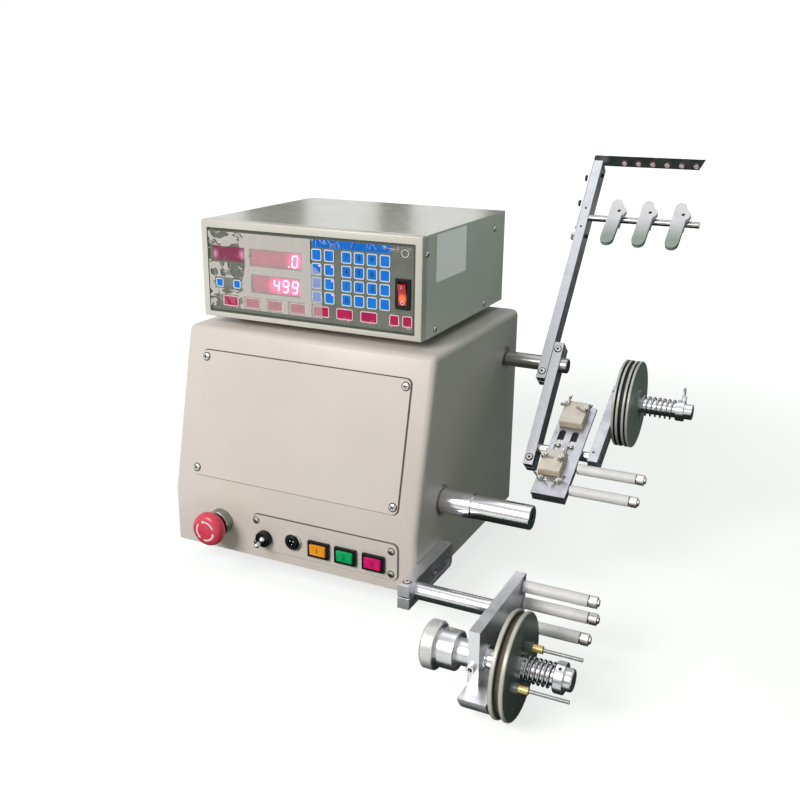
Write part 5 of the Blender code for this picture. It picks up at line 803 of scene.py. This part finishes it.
def socket_shades(name, key, places, body, depth):
    """Painted shade: a dark hexagon at the floor of each socket head."""
    hexagon = turned([(depth - 0.0001, 0.0), (depth - 0.0001, key), (depth, key), (depth, 0.0)], 6)
    set_out(name, hexagon, places, HOLE, body, "black_plastic")


def clamp_screws(name, body, places):
    """Socket screws, each on a dark disc that paints the shade of its counterbore, and with painted
    shade in its hexagon.
    """
    set_out(name + "_counterbores", disc(0.0046, 32), places, HOLE, body, "black_plastic")
    lifted = [(place + Vector(normal) * LIFT, normal, turn) for place, normal, turn in places]
    head = socket_screw(0.0036, 0.0012, 0.0019)
    set_out(name + "_screws", head, lifted, CHROME, body, "ground_steel")
    socket_shades(name + "_sockets", 0.0017, lifted, body, 0.0006)


def pin_hole_shades(body, places):
    """Painted shade: dark discs in the blind holes that cross pins were pressed into."""
    set_out(body + "_pin_holes", disc(0.0015, 20), places, HOLE, body, "black_plastic")


# Screws. BAR_FACE is a bar's front face and SWITCH_FACE that of the switch plate
BAR_FACE, SWITCH_FACE = -0.01125, -0.1478
COVER_CORNERS = [(x, -0.0019, up, 0.4 + 9 * up) for x in (-0.125, 0.125) for up in (0.030, 0.158)]
BOX_SIDES = ((-0.0777, 0.3493, 0.2), (0.1169, 0.3507, 0.7), (-0.054, 0.266, 0.5), (0.091, 0.266, 0.1))
cross_screws("cover_screws", 0.0043, on(SLOPE, FRONT, *COVER_CORNERS))
cross_screws("switch_plate_screws", 0.0037,
             on(UPRIGHT, FRONT, (-0.042, SWITCH_FACE, 0.046, 0.3), (0.127, SWITCH_FACE, 0.045, 0.9),
                (0.127, SWITCH_FACE, 0.0185, 0.1), (-0.042, SWITCH_FACE, 0.0185, 0.6)))
cross_screws("box_screws", 0.0033, on(UPRIGHT, RIGHT, *[(0.131, *side) for side in BOX_SIDES])
             + on(UPRIGHT, LEFT, *[(-0.131, *side) for side in BOX_SIDES]))

clamp_screws("mast_clamp", "mast", on(MAST, FRONT, (0.20675, BAR_FACE, -0.0154)))
clamp_screws("link_clamp", "link", on(MAST, FRONT, (0.21875, BAR_FACE, 0.0155),
                                      (0.21875, BAR_FACE, -0.1234, 0.4)))
pin_hole_shades("mast", on(MAST, FRONT, (0.20675, BAR_FACE, 0.213), (0.20675, BAR_FACE, 0.186)))
set_out("mast_rod_bolts", socket_screw(0.0026, 0.0022, 0.0013),
        on(MAST, RIGHT, (0.2125, 0.0, 0.270), (0.2125, 0.0, 0.179)), BLACK, "mast", "black_plastic")
set_out("mast_strip_screws", socket_screw(0.0040, 0.0068, 0.0018),
        on(MAST, LEFT, (0.201, -0.0055, 0.261), (0.201, -0.0055, 0.223, 0.5)), BLACK, "mast",
        "black_plastic")
set_out("mast_nut", nut(0.009, 0.0052), on(MAST, LEFT, (0.201, -0.0050, 0.175)), CHROME, "mast",
        "ground_steel")
pin_hole_shades("wheel_arm", on(FELT, FRONT, (0.2893, BAR_FACE, -0.0010), (0.2878, BAR_FACE, 0.0950)))
clamp_screws("bracket_clamp", "bracket", on(UPRIGHT, UP, (0.1624, -0.1828, 0.0350)))
PINCH = on(UPRIGHT, FRONT, (0.2690, -0.2728, 0.0179))
set_out("pinch_screw", socket_screw(0.0044, 0.0042, 0.0023), PINCH, CHROME, "brake_arm",
        "ground_steel")
socket_shades("pinch_socket", 0.0021, PINCH, "brake_arm", 0.0022)
# Painted shade in the sockets of the bracket bolts
socket_shades("bracket_bolt_sockets", 0.0024,
             on(UPRIGHT, RIGHT, (0.1655, -0.1380, 0.0175), (0.1655, -0.1155, 0.0175)), "cabinet",
             0.0002)
# Painted shade: a dark disc for the hole in the brake nut
NUT_HOLE = BRAKE_AXIS + Vector((0.3468, -0.0066, 0.0129))
set_out("brake_nut_hole", disc(0.0015, 20), [(NUT_HOLE, Vector((0, -0.45, 0.89)), 0.0)], HOLE,
        "brake_nut", "black_plastic")


# Tensioner: felts, press plates, wing nuts, springs

def pad(size):
    """A block of felt, its edges rounded by the pull of the press plate and its faces full."""
    shape = bmesh.new()
    bmesh.ops.create_cube(shape, size=1.0)
    bmesh.ops.scale(shape, vec=size, verts=shape.verts)
    bmesh.ops.bevel(shape, geom=list(shape.edges), offset=0.0011, segments=3, affect="EDGES",
                    profile=0.6)
    bmesh.ops.subdivide_edges(shape, edges=list(shape.edges), cuts=2, use_grid_fill=True)
    for vertex in shape.verts:
        swell = noise.noise(vertex.co * 260.0) * 0.00022
        vertex.co += vertex.co.normalized() * (swell - 0.0002)
    return from_bmesh(shape)


PAD_FRONT, PAD_BACK = -0.0218, -0.0133
for label, across, up in (("upper", (0.2415, 0.2695), (0.027, 0.061)),
                          ("lower", (0.2385, 0.2645), (-0.046, -0.015))):
    width, height = across[1] - across[0], up[1] - up[0]
    x, z = sum(across) / 2, sum(up) / 2
    felt = piece(f"felt_{label}", pad(Vector((width, PAD_BACK - PAD_FRONT, height))),
                 FELT @ Matrix.Translation((x, (PAD_FRONT + PAD_BACK) / 2, z)), WOOL, "felt_holder",
                 "cream_felt", f"felt_pad_{label}")
    piece(f"press_plate_{label}", tag(width - 0.0012, height - 0.0012, 0.0022, 0.0012, 0.0004),
          FELT @ on_front(x, PAD_FRONT, z), PRESS_PLATE, "felt_holder", "cream_felt")

PRESS_FACE, PLATE_FACE = -0.0230, -0.0130
for name, head, finish, slot, rows in (
        ("press_plate_wing_nuts", wing_nut(0.0190, 0.0088), NICKEL, "ground_steel",
         ((0.2440, PRESS_FACE, 0.0540, 1.1), (0.2670, PRESS_FACE, 0.0480, 0.35),
          (0.2415, PRESS_FACE, -0.0274, -0.5), (0.2615, PRESS_FACE, -0.0267, 1.4))),
        ("felt_plate_wing_nuts", wing_nut(0.0190, 0.0088), NICKEL, "ground_steel",
         ((0.2440, PLATE_FACE, -0.0520, -0.4), (0.2640, PLATE_FACE, -0.0520, 0.5))),
        # Painted shade: dark strips behind the felt plate's slots, where only shadow shows
        ("slot_liners", tag(0.0074, 0.0359, 0.00365, 0.0006), HOLE, "black_plastic",
         ((0.2480, -0.0097, 0.005), (0.2632, -0.0097, 0.005))),
        ("slot_screws", slotted_screw(0.0026, 0.0024), NICKEL, "ground_steel",
         ((0.2480, -0.0120, 0.0028, 0.6), (0.2632, -0.0120, 0.0027, -0.4)))):
    set_out(name, head, on(FELT, FRONT, *rows), finish, "felt_holder", slot)


def compression_spring(name, start, length, axis, radius, wire, turns, body):
    """A spring along X in the place of its CAD node."""
    seed = bpy.data.meshes.new("seed")
    seed.from_pydata([(0.0, 0.0, 0.0)], [], [])
    mesh = run_tree(SPRINGS, seed, {"Radius": radius, "Wire": wire, "Length": length,
                                    "Turns": turns, "Finish": SPRING})
    piece(name + "_coil", mesh, along_x(start, axis), SPRING, body, "spring_steel", name)


compression_spring("tension_spring", 0.3199, 0.0415, TENSION_AXIS, 0.01104, 0.0018, 7.0, "wheel_arm")
compression_spring("brake_spring", 0.3130, 0.0282, BRAKE_AXIS, 0.01115, 0.0020, 6.0, "brake_arm")


# Brake: knurled grip, groove linings, the posts' bosses

def knurled_band(radius, depth, length, around_count, along_count):
    """A band with a diamond knurl rolled into it, standing on Z."""
    shape = bmesh.new()
    steps, rows = around_count * 4, along_count * 4

    def ring(height, reaches):
        turns = [2 * math.pi * step / steps for step in range(steps)]
        return [shape.verts.new((reach * math.cos(turn), reach * math.sin(turn), height))
                for turn, reach in zip(turns, reaches)]

    rings = []
    for row in range(rows + 1):
        end = min(row, rows - row, 2) / 2
        ridges = [max(math.cos(math.pi / 2 * (step + row)), math.cos(math.pi / 2 * (step - row)))
                  for step in range(steps)]
        rings.append(ring(length * row / rows,
                          [radius + depth * (ridge * 0.5 + 0.5) * end for ridge in ridges]))
    rings += [ring(height, [radius - 0.0006] * steps) for height in (length, 0.0)]
    return bridged(shape, rings)


piece("knob_knurl", knurled_band(0.02220, 0.0009, 0.0118, 40, 7), along_x(0.2190, BRAKE_AXIS), KNURL,
      "brake_knob", "aluminium")


def lining(name, x_low, x_high, radius, axis, finish, body):
    """A thin band on a groove's floor."""
    piece(name, sleeve(radius, radius - 0.0004, x_high - x_low, 0.0001, 96), along_x(x_low, axis),
          finish, body, "black_rubber")


lining("brake_groove_lining", 0.3001, 0.3054, 0.0449, BRAKE_AXIS, GROOVE_LEATHER, "brake_wheel")
for number, (low, high) in enumerate(TENSION_GROOVES, 1):
    lining(f"tension_groove_lining_{number}", low + 0.0002, high - 0.0002, 0.0476, TENSION_AXIS,
           GROOVE_RUBBER, "tension_wheel")
for label, post in (("upper", UPPER_POST), ("lower", LOWER_POST)):
    piece(f"{label}_post_boss", sleeve(0.0046, 0.00365, 0.0088, 0.0004, 32), along_x(0.3098, post),
          BRAKE_FACE, "brake_wheel", "aluminium")


# Mast: eyelets, and the set screws' holes of the guide fingers

EYELET = turned([(-0.0022, 0.00165), (-0.0026, 0.0020), (-0.0024, 0.0030), (-0.0016, 0.0032),
                 (-0.0012, 0.0022), (0.0012, 0.0022), (0.0016, 0.0031), (0.0024, 0.0028),
                 (0.0028, 0.0020), (0.0024, 0.00165)], 32, closed=True)
EYELETS_X = [0.2363 + 0.018 * number for number in range(6)]
set_out("eyelets", EYELET, on(MAST, UP, *[(x, 0.004, 0.2937) for x in EYELETS_X]), CERAMIC, "mast",
        "white_nylon")
set_out("eyelet_flanges", sleeve(0.0034, 0.00225, 0.0009, 0.0002, 28),
        on(MAST, DOWN, *[(x, 0.004, 0.29265) for x in EYELETS_X]), CERAMIC_PINK, "mast",
        "white_nylon")
for number, x in enumerate((0.2508, 0.2888, 0.3283), 1):
    set_out(f"finger_screw_{number}", disc(0.0021, 24), on(FINGER, FRONT, (x, -0.0113, 0.0048)), HOLE,
            f"guide_finger_{number}", "black_plastic")


# Switch plate: stop button's arrows, pedal socket

def ring_arrow(radius, width, start, sweep, head):
    """A curved arrow: a ring sector with a pointed head, lying on XY."""
    steps = 14
    turns = [start + sweep * step / steps for step in range(steps + 1)]
    end = start + sweep
    tip = [(radius + width * 1.1, end), (radius, end + head), (radius - width * 1.1, end)]
    outer, inner = [[(radius + side * width / 2, turn) for turn in turns] for side in (1, -1)]
    return [(r * math.cos(t), r * math.sin(t)) for r, t in outer + tip + inner[::-1]]


ARROWS = [(cut_out(ring_arrow(0.0110, 0.0018, 2 * math.pi * number / 3 + 0.35, 1.40, 0.28), 0.0002),
           UPRIGHT) for number in range(3)]
piece("stop_arrows", assembled(ARROWS), on_front(-0.090, -0.179, 0.035), INK_WHITE, "estop_head",
      "white_nylon")
SOCKET_X, SOCKET_Z = 0.0066, 0.0305
piece("pedal_socket_nut", sleeve(0.0100, 0.0081, 0.0030, 0.0004),
      on_front(SOCKET_X, SWITCH_FACE, SOCKET_Z), CHROME, "cabinet", "ground_steel")
piece("pedal_socket_insert", disc(0.0042, 48, 0.0008), on_front(SOCKET_X, -0.1490, SOCKET_Z), BLACK,
      "cabinet", "black_plastic")
set_out("pedal_socket_pins", turned([(0.0, 0.0), (0.0, 0.0006), (0.0022, 0.0006), (0.0026, 0.0)], 12),
        on(UPRIGHT, FRONT, *[(SOCKET_X + 0.0023 * math.cos(turn), -0.1497,
                              SOCKET_Z + 0.0023 * math.sin(turn)) for turn in (0.5, 2.6, 4.7)]),
        CHROME, "cabinet", "ground_steel")


# Key panel

PANEL_Y, KEY_Y = -0.0875, -0.0881
KEYPAD_X, FUNCTION_X = (0.0428, 0.0579, 0.0731, 0.0881), (0.0065, 0.0220)
ROWS_Z = [0.3403 - 0.0152 * row for row in range(4)]
KEY_LINE = 0.0022
LOWER_Z = 0.279
for name, width, height, corner, places, finish, outline in (
        ("blue_keys", 0.0122, 0.0129, 0.0020,
         [(x, z) for x in (*FUNCTION_X, *KEYPAD_X) for z in ROWS_Z], KEY_BLUE, KEY_RIM),
        ("side_keys", 0.0098, 0.0098, 0.0016, [(-0.1197, 0.2987), (-0.0967, 0.2987)], KEY_BLUE,
         KEY_RIM),
        ("magenta_keys", 0.0204, 0.0122, 0.0020,
         [(-0.1057 + 0.0292 * number, LOWER_Z) for number in range(7)], KEY_PINK, PINK_RIM),
        ("small_magenta_keys", 0.0116, 0.0122, 0.0020, [(0.0993, LOWER_Z), (0.1143, LOWER_Z)],
         KEY_PINK, PINK_RIM)):
    set_out(name + "_outlines", tag(width, height, corner, PRINT),
            on(UPRIGHT, FRONT, *[(x, KEY_Y, z) for x, z in places]), outline, "cabinet",
            "panel_film")
    set_out(name, tag(width - KEY_LINE, height - KEY_LINE, corner - KEY_LINE / 3, PRINT),
            on(UPRIGHT, FRONT, *[(x, KEY_Y - 0.00006, z) for x, z in places]), finish, "cabinet",
            "panel_film")
# Painted shadow: a dark rim round the key panel's recessed edge
piece("panel_gasket", rim(0.2558, 0.0936, 0.0012, 0.0017, 0.0004), on_front(-0.0055, PANEL_Y, 0.3125),
      PANEL_EDGE_SHADE, "cabinet", "black_rubber")
# Painted shadow: dark rims in the gaps round the switch plate and the access cover
piece("switch_plate_gap", rim(0.1820, 0.0430, 0.0068, 0.0030, 0.00025),
      on_front(0.0444, -0.1460, 0.0329), GAP_SHADOW, "cabinet", "black_plastic")
piece("access_cover_gap", rim(0.2630, 0.1455, 0.0068, 0.0030, 0.00025),
      SLOPE @ on_front(0.0004, 0.0, 0.0941), GAP_SHADOW, "cabinet", "black_plastic")


def lettering(text, height):
    """Plain raised figures, middled on XY."""
    curve = bpy.data.curves.new("text", "FONT")
    curve.body, curve.size, curve.extrude = text, height * 1.35, 0.00004
    curve.align_x, curve.align_y = "CENTER", "CENTER"
    return evaluated(new_object("text", curve))


figures = [(lettering(figure, 0.0062), on_front(x, KEY_Y - 0.00018, z))
           for x, column in zip(KEYPAD_X, ("7410", "852", "963"))
           for z, figure in zip(ROWS_Z, column)]
piece("key_figures", assembled(figures), UPRIGHT, INK_DARK, "cabinet", "panel_film")
rocker_marks = [(lettering("I", 0.0042),
                 on_front(0.109, -0.09275, 0.3155) @ Matrix.Rotation(-0.28, 4, "X")),
                (lettering("O", 0.0042), on_front(0.109, -0.08985, 0.2985))]
piece("rocker_marks", assembled(rocker_marks), UPRIGHT, INK_WHITE, "power_rocker", "white_nylon")
for figure, colour, x in (("1", "yellow", 0.0394), ("2", "green", 0.0728), ("3", "magenta", 0.1067)):
    piece(f"{colour}_button_figure", lettering(figure, 0.0058), on_front(x, -0.15362, 0.028), LEGEND,
          f"button_{colour}", "black_plastic")
piece("header_band", tag(0.0935, 0.0085, 0.0004, 0.0001), on_front(0.0482, PANEL_Y, 0.3525),
      HEADER_BLUE, "cabinet", "panel_film")
piece("ring_mark", sleeve(0.0042, 0.0036, 0.0001, 0.00002, 40), on_front(0.1107, PANEL_Y, 0.3500),
      INK_WHITE, "cabinet", "panel_film")

# Tinted lenses, each set in its window's recess
for name, across, up, finish in (("left_window", (-0.127, -0.087), (0.324, 0.340), WINDOW_DARK),
                                 ("upper_window", (-0.0775, -0.013), (0.322, 0.3395), WINDOW_LIT),
                                 ("lower_window", (-0.076, -0.015), (0.2926, 0.311), WINDOW_LIT)):
    piece(name, tag(across[1] - across[0] - 0.0004, up[1] - up[0] - 0.0004, 0.0008, 0.0003),
          on_front(sum(across) / 2, PANEL_Y + 0.0006, sum(up) / 2), finish, "cabinet", "panel_film")

SEGMENTS = {"0": "abcdef", "4": "fgbc", "9": "abfgcd"}


def digit(figure, height):
    """The lit segments of one figure, about its middle, leaning as such displays do."""
    width, bar = height * 0.52, height * 0.13
    across, down = width - bar * 0.3, height / 2 - bar * 0.3
    flat = [(-across / 2, 0), (-across / 2 + bar / 2, bar / 2), (across / 2 - bar / 2, bar / 2),
            (across / 2, 0), (across / 2 - bar / 2, -bar / 2), (-across / 2 + bar / 2, -bar / 2)]
    upright = [(y, x * down / across) for x, y in flat][::-1]
    places = {"a": (flat, 0, height / 2), "g": (flat, 0, 0), "d": (flat, 0, -height / 2),
              "b": (upright, width / 2, height / 4), "c": (upright, width / 2, -height / 4),
              "f": (upright, -width / 2, height / 4), "e": (upright, -width / 2, -height / 4)}
    lean = Matrix.Identity(4)
    lean[0][1] = 0.12
    return [(cut_out(outline, 0.0001), lean @ Matrix.Translation((x, y, 0.0)))
            for outline, x, y in (places[segment] for segment in SEGMENTS[figure])]


shown = []
for text, first_x, z in (("0", -0.0210, 0.3302), ("499", -0.0450, 0.3018)):
    for number, figure in enumerate(text):
        stand = on_front(first_x + 0.0118 * number, PANEL_Y + 0.0003, z)
        shown += [(mesh, stand @ matrix) for mesh, matrix in digit(figure, 0.0125)]
shown.append((disc(0.0008, 16, 0.0001), on_front(-0.0286, PANEL_Y + 0.0003, 0.3240)))
piece("display_figures", assembled(shown), UPRIGHT, DIGIT, "cabinet", "panel_film")
set_out("led_dots", turned([(0.0, 0.0), (0.0, 0.0011), (0.0003, 0.0008), (0.0004, 0.0)], 16),
        on(UPRIGHT, FRONT, *[(FUNCTION_X[column] + 0.0035, KEY_Y - 0.0001, ROWS_Z[row] + 0.0038)
                             for column, row in ((0, 1), (1, 2), (1, 3), (1, 1))]),
        LED, "cabinet", "panel_film")

# Where the film clings, as a box in X and Z and how tightly: windows, side keys, function keys and
# the lower keys. The first row is the whole film, where it is loose
# Tightness also holds back the film's painted glare and painted crease highlights
CLINGING = [(-1.0, 1.0, -1.0, 1.0, 0.0), (-0.129, -0.085, 0.323, 0.341, 1.85),
            (-0.126, -0.091, 0.293, 0.305, 1.7), (-0.078, -0.012, 0.3215, 0.340, 1.0),
            (-0.077, -0.014, 0.292, 0.3115, 1.0), (0.0, 0.028, 0.287, 0.347, 1.0)]
CLINGING += [(-0.1165 + 0.0292 * number, -0.0950 + 0.0292 * number, 0.272, 0.286,
              1.0 if number else 1.6) for number in range(5)]


def film_sheet():
    """The wrinkled film: a grid that lifts off the panel in soft folds, most at the left and top. The
    rocker is left free."""
    shape = bmesh.new()
    columns, rows = 200, 66
    x_low, x_high, z_low, z_high = -0.1325, 0.1235, 0.2715, 0.3565
    grid = []
    for row in range(rows + 1):
        z = z_low + (z_high - z_low) * row / rows
        line = []
        for column in range(columns + 1):
            x = x_low + (x_high - x_low) * column / columns
            slack = 1.0 - 0.75 * min(1.0, max(0.0, (x + 0.09) / 0.1))
            fold = (noise.noise(Vector((x * 38, z * 70, 1.7)))
                    + 0.5 * noise.noise(Vector((x * 110, z * 150, 4))))
            rise = 0.0009 + 0.0012 * slack * max(-0.6, fold)
            line.append(shape.verts.new((x, PANEL_Y - 0.0008 - rise * 0.9, z)))
        grid.append(line)
    for low, high in zip(grid, grid[1:]):
        for column in range(columns):
            corners = (low[column], low[column + 1], high[column + 1], high[column])
            middle = (corners[0].co + corners[2].co) / 2
            if not (0.0985 < middle.x < 0.1195 and 0.2895 < middle.z < 0.3262):
                shape.faces.new(corners)
    bmesh.ops.delete(shape, geom=[v for v in shape.verts if not v.link_faces], context="VERTS")
    mesh = from_bmesh(shape)
    if mesh.polygons[0].normal.y > 0:
        mesh.flip_normals()
    cling = mesh.attributes.new("cling", "FLOAT", "POINT")
    for vertex, share in zip(mesh.vertices, cling.data):
        share.value = max(tightness for low_x, high_x, low_z, high_z, tightness in CLINGING
                          if low_x < vertex.co.x < high_x and low_z < vertex.co.z < high_z)
    return mesh


piece("protective_film", film_sheet(), UPRIGHT, FILM, "cabinet", "panel_film")
piece("blank_label", tag(0.081, 0.050, 0.0015, 0.00012),
      Matrix.Translation((0.1311, -0.0125, 0.341)) @ Matrix.Rotation(math.pi / 2, 4, "Z")
      @ Matrix.Rotation(math.pi / 2, 4, "X"), PAPER, "cabinet", "cream_paint")


# Room, camera and light

def floor():
    """A pale floor that keeps the machine's shadow. Camera rays see it a little lighter."""
    material, tree, place = blank("pale_floor", Roughness=0.9, Emission_Color=WHITE)
    mottle = add(tree, "TexNoise", {"Vector": place, "Scale": per(400), "Detail": 2.0})
    path = add(tree, "LightPath").outputs
    away = add(tree, "VectorMath", [place], operation="LENGTH")
    rise = add(tree, "MapRange", [away, 0.5, 1.5, FLOOR_GLOW, 1.0], interpolation_type="SMOOTHSTEP")
    direct = add(tree, "Math", [path["Is Camera Ray"], path["Is Glossy Ray"]], operation="MAXIMUM")
    glow = add(tree, "Math", [direct, rise], operation="MULTIPLY")
    wire_up(material, {"Base Color": toned(tree, mottle, 0.0, 1.0, "adb6b0", "b1b9b3"),
                       "Emission Strength": glow})
    mesh = bpy.data.meshes.new("floor")
    reach = 12.0
    corners = ((-reach, -reach), (reach, -reach), (reach, reach), (-reach, reach))
    mesh.from_pydata([(x, y, FLOOR_Z) for x, y in corners], [], [(0, 1, 2, 3)])
    mesh.transform(MACHINE)
    mesh.materials.append(material)
    new_object("floor", mesh)


def dark_card(name, centre, size, towards):
    """A dark card that only shows in polished metal, where it draws the streaks of a workshop."""
    material, tree, place = blank(name + "_card", Roughness=1.0)
    mottle = add(tree, "TexNoise", {"Vector": place, "Scale": per(300), "Detail": 1.0})
    wire_up(material, {"Base Color": toned(tree, mottle, 0.0, 1.0, "26332d", "35453d")})
    mesh = tag(size[0], size[1], 0.01, 0.002)
    mesh.materials.append(material)
    aim = Vector(towards) - Vector(centre)
    mesh.transform(MACHINE @ Matrix.Translation(centre)
                   @ aim.to_track_quat("Z", "Y").to_matrix().to_4x4())
    obj = new_object(name, mesh)
    obj.visible_camera = obj.visible_diffuse = obj.visible_shadow = False
    obj.visible_transmission = False


def area_light(name, place, size, watts, tint):
    """A round soft light aimed at the machine's middle."""
    light = bpy.data.lights.new(name, "AREA")
    light.shape, light.size, light.energy = "DISK", size, watts
    light.color = linear(tint)[:3]
    aim = Vector(MIDDLE) - Vector(place)
    new_object(name, light).matrix_world = (MACHINE @ Matrix.Translation(place)
                                            @ aim.to_track_quat("-Z", "Y").to_matrix().to_4x4())


FLOOR_GLOW = 0.74
WORLD_LIGHT = 0.20
MIDDLE = (0.08, -0.05, 0.16)
floor()
area_light("key", (-0.55, -1.75, 1.25), 1.1, 34.0, "fff8f5")
area_light("top", (0.10, 0.15, 1.9), 1.4, 5.0, "fdfeff")
dark_card("streak_high", (0.2, -1.9, 1.9), (2.6, 0.28), MIDDLE)
dark_card("streak_low", (0.5, -1.6, -0.02), (2.2, 0.30), MIDDLE)
for number, (x, width) in enumerate(((-2.15, 0.30), (-1.50, 0.16), (-0.85, 0.42), (-0.20, 0.12)), 1):
    dark_card(f"back_streak_{number}", (x, 3.2, 1.35), (width, 2.2), MIDDLE)
dark_card("right_wall", (1.6, 2.9, 0.16), (3.2, 0.62), MIDDLE)
dark_card("floor_flag", (1.0, 1.2, FLOOR_Z + 0.002), (2.6, 3.0), (1.0, 1.2, 1.0))

# The background is white to the camera and in reflections, and dimmer as a light
world = bpy.data.worlds.new("studio")
bpy.context.scene.world = world
world.use_nodes = True
sky = world.node_tree
path = add(sky, "LightPath").outputs
sharp = add(sky, "Math", [path["Is Camera Ray"], path["Is Glossy Ray"]], operation="MAXIMUM")
clear = add(sky, "Math", [sharp, path["Is Transmission Ray"]], operation="MAXIMUM")
background = sky.nodes["Background"].inputs
join(sky, toned(sky, clear, 0.0, 1.0, "daf2e1", "ffffff"), background["Color"])
join(sky, add(sky, "MapRange", [clear, 0.0, 1.0, WORLD_LIGHT, 1.0]), background["Strength"])

azimuth, elevation, roll = math.radians(25.53), math.radians(17.96), math.radians(0.60)
ahead = Vector((-math.sin(azimuth) * math.cos(elevation), math.cos(azimuth) * math.cos(elevation),
                -math.sin(elevation)))
level_right = Vector((math.cos(azimuth), math.sin(azimuth), 0.0))
level_up = level_right.cross(ahead)
side = math.cos(roll) * level_right + math.sin(roll) * level_up
above = -math.sin(roll) * level_right + math.cos(roll) * level_up
camera_data = bpy.data.cameras.new("camera")
camera_data.lens, camera_data.sensor_width = 44.74, 36.0
camera_data.clip_end = 60.0
camera = new_object("camera", camera_data)
camera.matrix_world = (MACHINE @ Matrix.Translation((0.5422, -0.9994, 0.5203))
                       @ Matrix((side, above, -ahead)).transposed().to_4x4())
bpy.context.scene.camera = camera
bpy.context.scene.view_settings.view_transform = "Standard"
